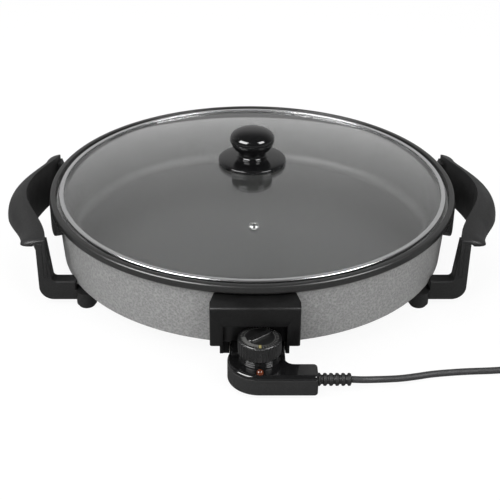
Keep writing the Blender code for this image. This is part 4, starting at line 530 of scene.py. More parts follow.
for side, hand in ((-1, "left"), (1, "right")):
    changes = [("UNION", across(leg(end), side)) for end in (-1, 1)]
    for end in (-1, 1):
        changes.append(("UNION", rod(side * FOOT_PLACE[0], end * FOOT_PLACE[1], 0.0033, TAB_TOP, 0.010, 48)))
    changes.append(("DIFFERENCE", pan_room()))
    for end in (-1, 1):
        stem_hole = rod(side * FOOT_PLACE[0], end * FOOT_PLACE[1], 0.0, 0.0093, 0.0033, 24)
        screw_hole = rod(side * SCREW_PLACE[0], end * SCREW_PLACE[1], 0.002, 0.03, 0.0022, 24)
        changes += [("DIFFERENCE", stem_hole), ("DIFFERENCE", screw_hole)]
    handle = carved(f"side_handle_{hand}", across(grip(), side), changes)
    dress(handle, "pan", "black_bakelite", BAKELITE, f"handle_{hand}")
    band = set_down(f"guard_band_{hand}", [across(guard(), side)])
    dress(band, "pan", "black_bakelite", BAKELITE, f"finger_guard_{hand}")

# Soft rubber feet, pressed into the posts by their stems.
RUBBER = finish("rubber", (0.018, 0.018, 0.018), (0.030, 0.030, 0.030), 1100.0, (0.62, 0.78), 0.00005,
                level=0.3)
for hand, side in (("left", -1), ("right", 1)):
    for place, end in (("front", -1), ("rear", 1)):
        foot = turned(eased(
            [(0.0, 0.009), (0.003, 0.009), (0.003, 0.003), (0.0085, 0.003), (0.0085, 0.001), (0.0075, 0.0),
             (0.0, 0.0)], (0, 0.0005, 0, 0.0006, 0.0008, 0.0006, 0)), 40)
        pad = set_down(f"foot_pad_{hand}_{place}", [moved(foot, side * FOOT_PLACE[0], end * FOOT_PLACE[1])])
        dress(pad, "pan", "black_rubber", RUBBER, f"rubber_foot_{hand}_{place}")

# Terminal hood
# Black bakelite hood over the terminals, screwed under the pan by two ears. Its mouth takes the thermostat's
# nose, between two cheeks that run in under the floor. A black rib left of that nose is painted shade, a dark
# sheet put where the pan's shade falls.
MOUTH_HALF, MOUTH_TOP = 0.0290, 0.0548


def hood_plan(depth):
    """Plan of the hood: narrow at the wall, wide in front, drawn in by a depth."""
    corner = max(0.0022 - depth, GAP)
    half, front = 0.0408 - depth, -0.2205 + depth
    right = np.vstack((
        ring_arc(half - corner, front + corner, corner, -90.0, 0.0, 6),
        [(half, -0.2130), (0.0360 - depth, -WALL_FOOT), (0.0360 - depth, -WALL_FOOT + 0.012)],
    ))
    return np.vstack((right, right[::-1] * (-1.0, 1.0)))


def sideways(shell):
    """Turn a slab drawn in Y and Z, carried along X."""
    return shell[0][:, [2, 0, 1]], shell[1]


def block(low, high):
    """Plain box between two corners, as a tool."""
    (x0, y0, z0), (x1, y1, z1) = low, high
    return slab([(x0, y0), (x1, y0), (x1, y1), (x0, y1)], z0, z1)


under_rim = RIM_TOP - RIM_HEIGHT
slope = (under_rim - 0.0730) / (0.2205 - WALL_TOP)
hood_rear = -WALL_FOOT + 0.006
hood_side = np.vstack((
    [(hood_rear, 0.0340), (hood_rear, under_rim + slope * (hood_rear + WALL_TOP))],
    ring_arc(-0.2205 + 0.0036, 0.0730 - 0.0036 * (1.0 - slope), 0.0036,
             90.0 + math.degrees(math.atan(slope)), 180.0, 10),
    [(-0.2205, 0.0340)],
))
cheek_side = [(-0.2070, 0.0165), (-0.1900, 0.0055), (-0.1640, 0.0055), (-0.1640, 0.026), (-0.1957, 0.026),
              (-0.1957, 0.0588), (-0.2070, 0.0588)]
changes = [
    ("INTERSECT", slab(hood_plan(0.0), 0.030, 0.094)),
    ("DIFFERENCE", slab(hood_plan(0.003), 0.030, 0.070)),
]
for side in (-1, 1):
    near, far = sorted((side * (MOUTH_HALF - 0.0015), side * (MOUTH_HALF + 0.003)))
    changes.append(("UNION", sideways(slab(cheek_side, near, far, 0.0006, 0.0006))))
    near, far = sorted((side * (MOUTH_HALF - 0.0015), side * 0.0393))
    changes.append(("UNION", block((near, -0.211, 0.0343), (far, -0.203, 0.0715))))
    near, far = sorted((side * (MOUTH_HALF + 0.0015), side * 0.0440))
    changes.append(("UNION", block((near, -0.180, TAB_TOP - 0.0032), (far, -0.166, TAB_TOP))))
changes.append(("DIFFERENCE", block((-MOUTH_HALF, -0.2245, 0.0), (MOUTH_HALF, -0.160, MOUTH_TOP))))
# painted shade: this black rib closes the space left of the nose, standing in for the shade under the pan there
changes.append(("UNION", block((-MOUTH_HALF - 0.0008, -0.1950, 0.0085), (-0.0232, -0.1930, 0.0260))))
changes.append(("DIFFERENCE", pan_room(256)))
for side in (-1, 1):
    changes.append(("DIFFERENCE", rod(side * 0.0385, -0.1730, 0.010, 0.030, 0.0022, 24)))
hood = carved("hood_shell", sideways(slab(hood_side, -0.045, 0.045)), changes, 0.0007)
HOOD_BAKELITE = finish("hood_bakelite", (0.0050, 0.0050, 0.0051), (0.0080, 0.0080, 0.0081), 800.0,
                       (0.34, 0.42), 0.00002, level=0.3)
dress(hood, "pan", "black_bakelite", HOOD_BAKELITE, "terminal_hood")

# Heating element, terminals and screws
# Steel-sheathed tubular heater, bent to an open ring under the floor, held by three zinc-plated saddle clips.
# Its legs end at two steel pins in a ceramic block under the front edge, beside the open tube for the probe.
ELEMENT_R, TUBE_R, BEND, SOCKET_X, PIN_SPREAD, PIN_Z = 0.1150, 0.0035, 0.0220, 0.0025, 0.0125, 0.0120
BLOCK_REAR = 0.1620


def tube(line, radius, steps=20):
    """Round tube: line + radius (cos a · side + sin a · up); side = t × z and up = side × t of its run t."""
    at = np.asarray(line, float)
    run = np.gradient(at, axis=0)
    run /= np.linalg.norm(run, axis=1)[:, None]
    side = np.cross(run, (0.0, 0.0, 1.0))
    side /= np.linalg.norm(side, axis=1)[:, None]
    up = np.cross(side, run)
    a = np.linspace(0.0, 2 * np.pi, steps, endpoint=False)
    c, s = np.cos(a)[None, :, None], np.sin(a)[None, :, None]
    rings = at[:, None] + radius * (c * side[:, None] + s * up[:, None])
    return skinned(rings)


def brushed(name, dark, light, gloss, stretch):
    """Metal with fine scratches that run round the pan's axis: noise on (radius, height, turn)."""
    made = bpy.data.materials.new(name)
    made.use_nodes = True
    nodes, links = made.node_tree.nodes, made.node_tree.links
    shader = nodes["Principled BSDF"]
    shader.inputs["Metallic"].default_value = 1.0
    place = nodes.new("ShaderNodeTexCoord").outputs["Object"]
    centred = nodes.new("ShaderNodeMapping")
    centred.inputs["Location"].default_value = (0.0, -float(PAN_AXIS[1]), 0.0)
    links.new(place, centred.inputs["Vector"])
    apart = nodes.new("ShaderNodeSeparateXYZ")
    links.new(centred.outputs["Vector"], apart.inputs["Vector"])
    radius = nodes.new("ShaderNodeMath")
    turn = nodes.new("ShaderNodeMath")
    flat = nodes.new("ShaderNodeVectorMath")
    flat.operation = "MULTIPLY"
    flat.inputs[1].default_value = (1.0, 1.0, 0.0)
    links.new(centred.outputs["Vector"], flat.inputs[0])
    length = nodes.new("ShaderNodeVectorMath")
    length.operation = "LENGTH"
    links.new(flat.outputs["Vector"], length.inputs[0])
    radius.operation = "MULTIPLY"
    radius.inputs[1].default_value = stretch
    links.new(length.outputs["Value"], radius.inputs[0])
    height = nodes.new("ShaderNodeMath")
    height.operation = "MULTIPLY"
    height.inputs[1].default_value = stretch
    links.new(apart.outputs["Z"], height.inputs[0])
    turn.operation = "ARCTAN2"
    links.new(apart.outputs["Y"], turn.inputs[0])
    links.new(apart.outputs["X"], turn.inputs[1])
    joined = nodes.new("ShaderNodeCombineXYZ")
    links.new(radius.outputs[0], joined.inputs["X"])
    links.new(height.outputs[0], joined.inputs["Y"])
    links.new(turn.outputs[0], joined.inputs["Z"])
    scratch = noise(nodes, links, joined.outputs["Vector"], 3.0, 4.0, 0.6)
    links.new(tinted(nodes, links, scratch, dark, light), shader.inputs["Base Color"])
    links.new(graded(nodes, links, scratch, gloss[0], gloss[1]), shader.inputs["Roughness"])
    raised(nodes, links, shader, scratch, 0.00002, 0.5)
    return made


STEEL = brushed("stainless_steel", (0.60, 0.60, 0.61), (0.78, 0.78, 0.78), (0.16, 0.26), 1300.0)
DARK_STEEL = finish("heated_steel", (0.22, 0.20, 0.18), (0.36, 0.35, 0.33), 120.0, (0.32, 0.48), 0.00002, 1.0)
ZINC = finish("zinc_plate", (0.44, 0.44, 0.43), (0.60, 0.60, 0.59), 300.0, (0.28, 0.42), 0.00002, 1.0)
PIN_STEEL = finish("pin_steel", (0.60, 0.60, 0.60), (0.76, 0.76, 0.75), 400.0, (0.14, 0.24), 0.0, 1.0)
BRASS = finish("brass", (0.58, 0.42, 0.17), (0.74, 0.57, 0.28), 260.0, (0.20, 0.34), 0.00001, 1.0)
element_z = UNDERSIDE - GAP - TUBE_R
offset = PIN_SPREAD + BEND
opening = math.degrees(math.asin(offset / (ELEMENT_R + BEND)))
bend_y = -math.sqrt((ELEMENT_R + BEND) ** 2 - offset ** 2)
ring_points = ring_arc(SOCKET_X, 0.0, ELEMENT_R, 270.0 - opening, -90.0 + opening, 160)
right_bend = ring_arc(SOCKET_X + offset, bend_y, BEND, 90.0 + opening, 180.0, 20)
left_bend = (right_bend * (-1.0, 1.0) + (2 * SOCKET_X, 0.0))[::-1]
flat_run = np.vstack((left_bend, ring_points[1:-1], right_bend))
flat_run = np.column_stack((flat_run, np.full(len(flat_run), element_z)))
rear = -BLOCK_REAR + GAP
drop = through([(SOCKET_X + PIN_SPREAD, flat_run[-1, 1], element_z),
                (SOCKET_X + PIN_SPREAD, rear + 4 * TUBE_R, (element_z + PIN_Z) / 2),
                (SOCKET_X + PIN_SPREAD, rear + 2 * TUBE_R, PIN_Z), (SOCKET_X + PIN_SPREAD, rear, PIN_Z)], 8)
drop_left = (drop * (-1.0, 1.0, 1.0) + (2 * SOCKET_X, 0.0, 0.0))[::-1]
heater = set_down("heater_tube", [tube(np.vstack((drop_left[:-1], flat_run, drop[1:])), TUBE_R)])
dress(heater, "pan", "stainless_steel", DARK_STEEL, "heating_element")


def lengthwise(shell):
    """Turn a shell about Z to lie along Y."""
    return shell[0][:, [0, 2, 1]], shell[1]


for hand, side in (("left", -1), ("right", 1)):
    pin = turned(eased([(0.0, -0.2150), (0.0025, -0.2150), (0.0025, -BLOCK_REAR), (0.0, -BLOCK_REAR)],
                       (0.0, 0.0014, 0.0004, 0.0)), 32)
    pin = moved(lengthwise(pin), SOCKET_X + side * PIN_SPREAD, 0.0, PIN_Z)
    dress(set_down(f"contact_pin_{hand}", [pin]), "pan", "stainless_steel", PIN_STEEL, f"terminal_pin_{hand}")


def screw(head_radius, shank_radius, head_low, head_top, end, recess):
    """Pan-head screw, head down: a turned shell, its head pressed in where |x| or |y| < recess."""
    profile = np.vstack((
        [(0.0, end), (shank_radius * 0.8, end), (shank_radius, end - 0.0005), (shank_radius, head_top),
         (head_radius, head_top)],
        ring_arc(0.0, 0.0, 1.0, 0.0, -90.0, 14) * (head_radius, head_top - head_low) + (0.0, head_top),
    ))
    points, faces = turned(profile, 48)
    head = points[:, 2] < head_top - 0.35 * (head_top - head_low)
    cross = np.minimum(np.abs(points[:, 0]), np.abs(points[:, 1])) < recess
    cross &= np.hypot(points[:, 0], points[:, 1]) < 0.62 * head_radius
    points[:, 2] = np.where(head & cross, points[:, 2] + 0.45 * (head_top - head_low), points[:, 2])
    return points, faces


SCREWS = [(name, "pan") for name in (
    "handle_screw_left_front", "handle_screw_left_rear", "handle_screw_right_front", "handle_screw_right_rear",
    "hood_screw_1", "hood_screw_2", "terminal_block_screw_1", "terminal_block_screw_2",
    "element_clip_screw_1", "element_clip_screw_2", "element_clip_screw_3")]
SCREWS += [(f"case_screw_{number}", "thermostat") for number in (1, 2, 3)]
for name, body in SCREWS:
    low, high = (np.array(corner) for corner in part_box(name))
    middle = (low + high) / 2 - PAN_AXIS
    small = body == "thermostat"
    head_radius, shank, head = (0.0027, 0.0013, 0.0018) if small else (0.0036, 0.0018, 0.0024)
    recess = 0.0004 if small else 0.0005
    made = screw(head_radius * 0.97, shank * 0.97, low[2], low[2] + head, high[2], recess)
    made = set_down(f"{name}_turned", [moved(made, middle[0], middle[1])])
    dress(made, body, "zinc_steel", ZINC, name)

CERAMIC = finish("ceramic", (0.66, 0.64, 0.59), (0.78, 0.76, 0.72), 400.0, (0.45, 0.6), 0.00005)


def refinish(material, *names):
    """Give carried-over CAD nodes their finish."""
    for name in names:
        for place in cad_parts[name].material_slots:
            place.material = material


refinish(ZINC, "element_clip_1", "element_clip_2", "element_clip_3")
refinish(CERAMIC, "terminal_block")
refinish(DARK_STEEL, "probe_sheath")

# Lid
# Domed 4 mm glass with a flat edge in a rolled steel ring. A steel eyelet in front lets the steam out.
RING_R, GLASS_BOTTOM = 0.2005, 0.0835 + GAP + 0.0008 + GAP
GLASS_TOP = GLASS_BOTTOM + 0.004
RING_LOW, RING_TOP = 0.0835 + GAP, GLASS_TOP + GAP + 0.0008
GLASS_R = RING_R - 0.0008 - GAP
DOME_R, DOME_RISE = GLASS_R - 0.006, 0.0261
SPHERE = (DOME_R ** 2 + DOME_RISE ** 2) / (2 * DOME_RISE)
DOME_TOP = GLASS_TOP + DOME_RISE
VENT_OUT = 0.122


def dome(radius):
    """Height of the glass's upper face: top - R + sqrt(R^2 - r^2)."""
    return DOME_TOP - SPHERE + np.sqrt(SPHERE ** 2 - np.asarray(radius, float) ** 2)


def clear_glass():
    """Clear glass, faintly grey-green, with faint smears; rays from lamps pass straight through it."""
    made = bpy.data.materials.new("lid_glass")
    made.use_nodes = True
    nodes, links = made.node_tree.nodes, made.node_tree.links
    shader = nodes["Principled BSDF"]
    shader.inputs["Base Color"].default_value = (0.965, 0.975, 0.970, 1.0)
    shader.inputs["Transmission Weight"].default_value = 1.0
    shader.inputs["IOR"].default_value = 1.5
    place = nodes.new("ShaderNodeTexCoord").outputs["Object"]
    smear = noise(nodes, links, place, 26.0, 4.0, 0.6)
    links.new(graded(nodes, links, smear, 0.0, 0.035), shader.inputs["Roughness"])
    through_it = nodes.new("ShaderNodeBsdfTransparent")
    mixed = nodes.new("ShaderNodeMixShader")
    rays = nodes.new("ShaderNodeLightPath")
    links.new(rays.outputs["Is Shadow Ray"], mixed.inputs["Fac"])
    links.new(shader.outputs["BSDF"], mixed.inputs[1])
    links.new(through_it.outputs["BSDF"], mixed.inputs[2])
    links.new(mixed.outputs["Shader"], nodes["Material Output"].inputs["Surface"])
    return made


GLASS = clear_glass()
radii = np.linspace(0.0029, DOME_R - 0.004, 40)
edge = eased([(DOME_R - 0.004, dome(DOME_R - 0.004)), (DOME_R, GLASS_TOP), (GLASS_R, GLASS_TOP),
              (GLASS_R, GLASS_BOTTOM), (DOME_R, GLASS_BOTTOM),
              (DOME_R - 0.004, dome(DOME_R - 0.004) - 0.004)], (0, 0.002, 0.0006, 0.0006, 0.002, 0))
glass_profile = np.vstack((np.column_stack((radii, dome(radii)))[:-1], edge,
                           np.column_stack((radii, dome(radii) - 0.004))[::-1][1:]))
vent_lean = math.asin(VENT_OUT / SPHERE)


def on_dome(shell):
    """Set a shell drawn about Z on the dome at the vent, square to the glass."""
    x, y, z = shell[0].T
    c, s = math.cos(vent_lean), math.sin(vent_lean)
    turned_points = np.stack((x, y * c - z * s - VENT_OUT, y * s + z * c + float(dome(VENT_OUT))), 1)
    return turned_points, shell[1]


lid_glass = carved("glass_dome", turned(glass_profile, 192, True),
                   [("DIFFERENCE", on_dome(rod(0.0, 0.0, -0.008, 0.004, 0.0033, 32)))])
dress(lid_glass, "lid", "clear_glass", GLASS, "lid_glass")

ring_profile = eased([
    (RING_R - 0.0045, RING_TOP), (RING_R, RING_TOP), (RING_R, RING_LOW), (RING_R - 0.0045, RING_LOW),
    (RING_R - 0.0045, RING_LOW + 0.0008), (RING_R - 0.0008, RING_LOW + 0.0008),
    (RING_R - 0.0008, RING_TOP - 0.0008), (RING_R - 0.0045, RING_TOP - 0.0008)],
    (0.0003, 0.0011, 0.0009, 0.0003, 0.0003, 0.0003, 0.0003, 0.0003), True)
dress(set_down("edge_ring", [turned(ring_profile, 256, True)]), "lid", "stainless_steel", STEEL, "lid_ring")

vent_low = -0.004 - GAP - 0.0006
vent_profile = eased([
    (0.0016, 0.0009), (0.0041, 0.0009), (0.0046, GAP), (0.0030, GAP), (0.0030, vent_low + 0.0006),
    (0.0046, vent_low + 0.0006), (0.0041, vent_low), (0.0016, vent_low)],
    (0.0005, 0.0005, 0.0002, 0.0002, 0.0002, 0.0002, 0.0003, 0.0005), True)
vent = set_down("steam_eyelet", [on_dome(turned(vent_profile, 48, True))])
dress(vent, "lid", "stainless_steel", PIN_STEEL, "steam_vent")

# Lid knob
# Glossy black bakelite mushroom knob on a wide base disc, drawn down by a screw from inside the glass.
DISC_SEAT = DOME_TOP + GAP
DISC_TOP = DISC_SEAT + 0.0048
NECK_FOOT = DISC_TOP + 0.0010 + GAP
KNOB_TOP, KNOB_WIDEST = NECK_FOOT + 0.0287, NECK_FOOT + 0.0172


def glossy(name, colour, gloss=(0.06, 0.11)):
    """Polished black plastic: barely uneven colour, long faint waves in its gloss."""
    made = finish(name, colour, tuple(1.35 * part for part in colour), 240.0, gloss)
    nodes, links = made.node_tree.nodes, made.node_tree.links
    place = nodes["Texture Coordinate"].outputs["Object"]
    wave = noise(nodes, links, place, 55.0, 1.0)
    raised(nodes, links, nodes["Principled BSDF"], wave, 0.00008, 0.35)
    return made


KNOB_GLOSS = glossy("knob_gloss", (0.0055, 0.0055, 0.0058))
rim_low = float(dome(0.0350)) + GAP
disc_top = through([(0.0166, DISC_TOP + 0.0001), (0.0225, DISC_TOP - 0.0003), (0.0285, DISC_TOP - 0.0009),
                    (0.0330, DISC_TOP - 0.0017), (0.03465, DISC_TOP - 0.0026), (0.0350, DISC_TOP - 0.0036)], 6)
disc_profile = np.vstack((
    [(0.0029, DISC_TOP + 0.0010)],
    eased([(0.0140, DISC_TOP + 0.0010), (0.0162, DISC_TOP + 0.0010), (0.0162, DISC_TOP + 0.0001),
           (0.0166, DISC_TOP + 0.0001)], (0, 0.0006, 0.0004, 0)),
    disc_top[1:],
    eased([(0.0350, rim_low + 0.0008), (0.0350, rim_low), (0.0329, rim_low + GAP)], (0, 0.0005, 0)),
    [(radius, float(dome(radius)) + GAP) for radius in (0.030, 0.0236, 0.017, 0.010)],
    [(0.0029, DISC_SEAT)],
))
dress(set_down("knob_base", [turned(disc_profile, 128, True)]), "lid", "gloss_black", KNOB_GLOSS, "knob_disc")
a = np.radians(np.linspace(0.0, 80.0, 23))
crown = np.stack((0.0228 * np.sin(a) ** 0.9, KNOB_WIDEST + (KNOB_TOP - KNOB_WIDEST) * np.cos(a) ** 0.75), 1)
fall = 0.0119
under_cap = through([
    (0.02276, KNOB_WIDEST + 0.0014), (0.0228, KNOB_WIDEST), (0.02264, KNOB_WIDEST - 0.0016),
    (0.02212, KNOB_WIDEST - 0.25 * fall), (0.02029, KNOB_WIDEST - 0.57 * fall),
    (0.01824, KNOB_WIDEST - 0.8 * fall), (0.01500, KNOB_WIDEST - 0.99 * fall), (0.01412, NECK_FOOT + 0.0042),
    (0.01406, NECK_FOOT + 0.0026), (0.01430, NECK_FOOT + 0.0010), (0.01480, NECK_FOOT + 0.0002)], 5)
knob_profile = np.vstack((crown, under_cap, [
    (0.0145, NECK_FOOT), (0.0029, NECK_FOOT), (0.0029, NECK_FOOT + 0.0124), (0.0, NECK_FOOT + 0.0124)]))
dress(set_down("lid_knob", [turned(knob_profile, 128)]), "lid", "gloss_black", KNOB_GLOSS, "knob")
refinish(RUBBER, "knob_washer")
refinish(ZINC, "knob_screw")

# Thermostat case
# Two screwed halves: a matt black base shell and a glossy cover with a raised nose and the dial's turret.
# A neon lamp's lens shows in front of the dial; the nose holds two contact sleeves and the probe.
HEAD_X, HEAD_Y, HEAD_R = 0.0040, 0.2257, 0.0290
NOSE_HALF, NOSE_REAR, NOSE_UPPER = 0.0250, 0.1905, 0.2040
ARM_END, ARM_REAR = 0.0557, 0.2331
SPLIT, CASE_TOP = 0.0205, 0.0247
CASE_SCREWS = ((-0.0178, -0.2110), (0.0228, -0.2110), (0.0450, -0.2475))


def case_plan(depth, rear=NOSE_REAR):
    """Plan of the case: nose to the rear, round head, arm to the right with a fillet in its corner."""
    left, right = SOCKET_X - NOSE_HALF + depth, SOCKET_X + NOSE_HALF - depth
    radius = HEAD_R - depth
    start = math.degrees(math.atan2(math.sqrt(radius ** 2 - (left - HEAD_X) ** 2), left - HEAD_X))
    front, end, arm_rear = -HEAD_Y - radius, ARM_END - depth, -ARM_REAR - depth
    corner, fillet = max(0.0035 - depth, GAP), 0.0080 + depth
    return np.vstack((
        [(left, -rear - depth)],
        ring_arc(HEAD_X, -HEAD_Y, radius, start, 270.0, 36),
        ring_arc(end - corner, front + corner, corner, -90.0, 0.0, 8),
        ring_arc(end - corner, arm_rear - corner, corner, 0.0, 90.0, 8),
        ring_arc(right + fillet, arm_rear + fillet, fillet, -90.0, -180.0, 10),
        [(right, -rear - depth)],
    ))


relief_y = -(ARM_REAR + HEAD_Y + HEAD_R) / 2


def crosswise(shell, y, z):
    """Turn a shell about Z to lie along X at a place."""
    return shell[0][:, [2, 1, 0]] + np.array((0.0, y, z)), shell[1]


def level_rod(start, end, radius, x, z):
    """Round bar along Y."""
    bar = turned([(0.0, start), (radius, start), (radius, end), (0.0, end)], 32)
    return moved(lengthwise(bar), x, 0.0, z)


changes = [("DIFFERENCE", slab(case_plan(0.002, NOSE_UPPER), 0.006, 0.0245))]
changes += [("UNION", rod(x, y, 0.005, SPLIT, 0.0036)) for x, y in CASE_SCREWS]
changes += [("DIFFERENCE", rod(x, y, 0.0, 0.0245, 0.0017, 24)) for x, y in CASE_SCREWS]
changes += [("DIFFERENCE", rod(x, y, 0.0, 0.009, 0.0031, 32)) for x, y in CASE_SCREWS]
for side in (-1, 1):
    changes.append(("DIFFERENCE", level_rod(-0.210, -0.1865, 0.0031, SOCKET_X + side * PIN_SPREAD, PIN_Z)))
    changes.append(("DIFFERENCE", level_rod(-0.210, -0.1932, 0.0039, SOCKET_X + side * PIN_SPREAD, PIN_Z)))
changes.append(("DIFFERENCE", level_rod(-0.210, -0.1865, 0.0028, SOCKET_X, 0.0160)))
changes.append(("DIFFERENCE", crosswise(rod(0.0, 0.0, 0.0527, 0.060, 0.0047), relief_y, 0.0143)))
base = carved("case_lower", slab(case_plan(0.0), 0.0040, SPLIT, 0.0012, 0.0005), changes)
MATTE = finish("matte_black", (0.013, 0.013, 0.0132), (0.024, 0.024, 0.0242), 1500.0, (0.52, 0.64), 0.00006,
               relief_grain=2600.0, level=0.3)
dress(base, "thermostat", "matte_black", MATTE, "thermostat_base")

low = SPLIT + GAP
nose_half = NOSE_HALF - 0.0006
nose = [(SOCKET_X - nose_half, -0.2046), (SOCKET_X - nose_half, -HEAD_Y), (SOCKET_X + nose_half, -HEAD_Y),
        (SOCKET_X + nose_half, -0.2046)]
steps = [(0.0192, CASE_TOP - 0.0010)]
for number in range(3):
    height, size = 0.0266 + 0.0018 * number, 0.0187 - 0.0004 * number
    steps += [(size, height), (size - 0.0007, height + 0.0002), (size - 0.0007, height + 0.0007),
              (size - 0.0003, height + 0.0009)]
turret = [(0.0, low + GAP), (0.0192, low + GAP), *steps, (0.0176, 0.0322), (0.0, 0.0322)]
turret = turned(eased(turret, 0.0003), 96)
changes = [
    ("UNION", slab(nose, low + GAP, 0.0300, 0.0, 0.0021)),
    ("UNION", moved(turret, HEAD_X, -HEAD_Y)),
    ("DIFFERENCE", slab(case_plan(0.002, NOSE_UPPER), low - 0.004, 0.0227)),
    ("DIFFERENCE", rod(HEAD_X, -HEAD_Y, low - 0.004, 0.0302, 0.0156, 64)),
]
changes += [("UNION", rod(x, y, low, 0.0237, 0.0033)) for x, y in CASE_SCREWS]
changes += [("DIFFERENCE", rod(x, y, 0.0, 0.0235, 0.0017, 24)) for x, y in CASE_SCREWS]
changes += [
    ("DIFFERENCE", rod(HEAD_X, -HEAD_Y, 0.0, 0.0362, 0.0033)),
    ("DIFFERENCE", rod(HEAD_X, -0.2490, 0.0, 0.0325, 0.0035)),
]
cover_slab = slab(case_plan(0.0, NOSE_UPPER), low, CASE_TOP, 0.0, 0.0030, 8)
cover = carved("case_cover", cover_slab, changes, sharp=24.0)
CASE_GLOSS = glossy("cover_gloss", (0.0065, 0.0065, 0.0068), (0.08, 0.14))
dress(cover, "thermostat", "gloss_black", CASE_GLOSS, "thermostat_cover")

LAMP = finish("lamp_lens", (0.12, 0.022, 0.007), (0.20, 0.045, 0.013), 420.0, (0.10, 0.18))
LAMP.node_tree.nodes["Principled BSDF"].inputs["Transmission Weight"].default_value = 0.25
lamp_profile = np.vstack((
    ring_arc(0.0, 0.0285 - 0.0032, 0.0032, 90.0, 0.0, 14),
    [(0.0032, CASE_TOP - 0.0023), (0.0027, 0.0170), (0.0, 0.0170)],
))
lens = set_down("neon_lens", [moved(turned(lamp_profile, 40), HEAD_X, -0.2490)])
dress(lens, "thermostat", "orange_lens", LAMP, "lamp_lens")

probe_profile = eased([(0.0, -0.1250), (0.0015, -0.1250), (0.0025, -0.1260), (0.0025, -0.1955), (0.0, -0.1955)],
                      (0, 0.0006, 0.0008, 0, 0))
probe = set_down("probe_tube", [moved(lengthwise(turned(probe_profile, 32)), SOCKET_X, 0.0, 0.0160)])
dress(probe, "thermostat", "stainless_steel", PIN_STEEL, "probe_rod")
refinish(BRASS, "contact_sleeve_left", "contact_sleeve_right")
refinish(CERAMIC, "switch_block")

# Dial
# Black dial with a finely ribbed skirt, a bevelled crown and a raised grip bar, on a zinc-plated spindle.
# Grey ticks are printed round its face, a grey wedge lies on its face from the left round to the front, and a
# pale mark in front shows the setting.
DIAL_LOW, DIAL_HIGH, DIAL_R, FACE_R, SKIRT_TOP, FACE_TOP = 0.0328, 0.0496, 0.0197, 0.0180, 0.0466, 0.0474


def ribbed_dial():
    """Dial: profile turned about its axis, its skirt drawn in by d (1 - cos 36a) / 2 for the ribs."""
    profile = np.vstack((
        [(0.0, DIAL_LOW), (0.0150, DIAL_LOW)],
        eased([(0.0185, DIAL_LOW), (DIAL_R, DIAL_LOW), (DIAL_R, SKIRT_TOP), (DIAL_R - 0.0010, SKIRT_TOP),
               (FACE_R, FACE_TOP), (0.0150, FACE_TOP)], (0, 0.0006, 0.0007, 0.0004, 0.0006, 0), steps=4),
        [(0.0100, FACE_TOP), (0.0, FACE_TOP)],
    ))
    steps = 36 * 8
    r = profile[:, 0][:, None]
    a = np.linspace(0.0, 2 * np.pi, steps, endpoint=False)[None, :]
    skirt = np.clip((r - (DIAL_R - 0.0009)) / 0.0006, 0.0, 1.0)
    r = r - skirt * 0.0007 * (0.5 - 0.5 * np.cos(36 * a)) ** 1.5
    points = np.stack((r * np.cos(a), r * np.sin(a), profile[:, 1][:, None] + 0.0 * a), -1)
    return points.reshape(-1, 3), [quads(len(profile), steps)]


def grip_bar():
    """Grip: a rounded rectangle with waisted sides, turned 38 degrees, its upper edge eased."""
    ends = ring_arc(0.0125 - 0.0026, 0.0, 0.0026, -80.0, 80.0, 10)
    half = np.vstack((ends, [(0.004, 0.0030), (0.0, 0.0028), (-0.004, 0.0030)]))
    outline = np.vstack((half, -ends, [(-0.004, -0.0030), (0.0, -0.0028), (0.004, -0.0030)]))
    points, faces = slab(outline * (1.0, 1.15), FACE_TOP - 0.0010, DIAL_HIGH, 0.0, 0.0012)
    c, s = math.cos(math.radians(38.0)), math.sin(math.radians(38.0))
    x, y, z = points.T
    return np.stack((x * c - y * s, x * s + y * c, z), 1), faces


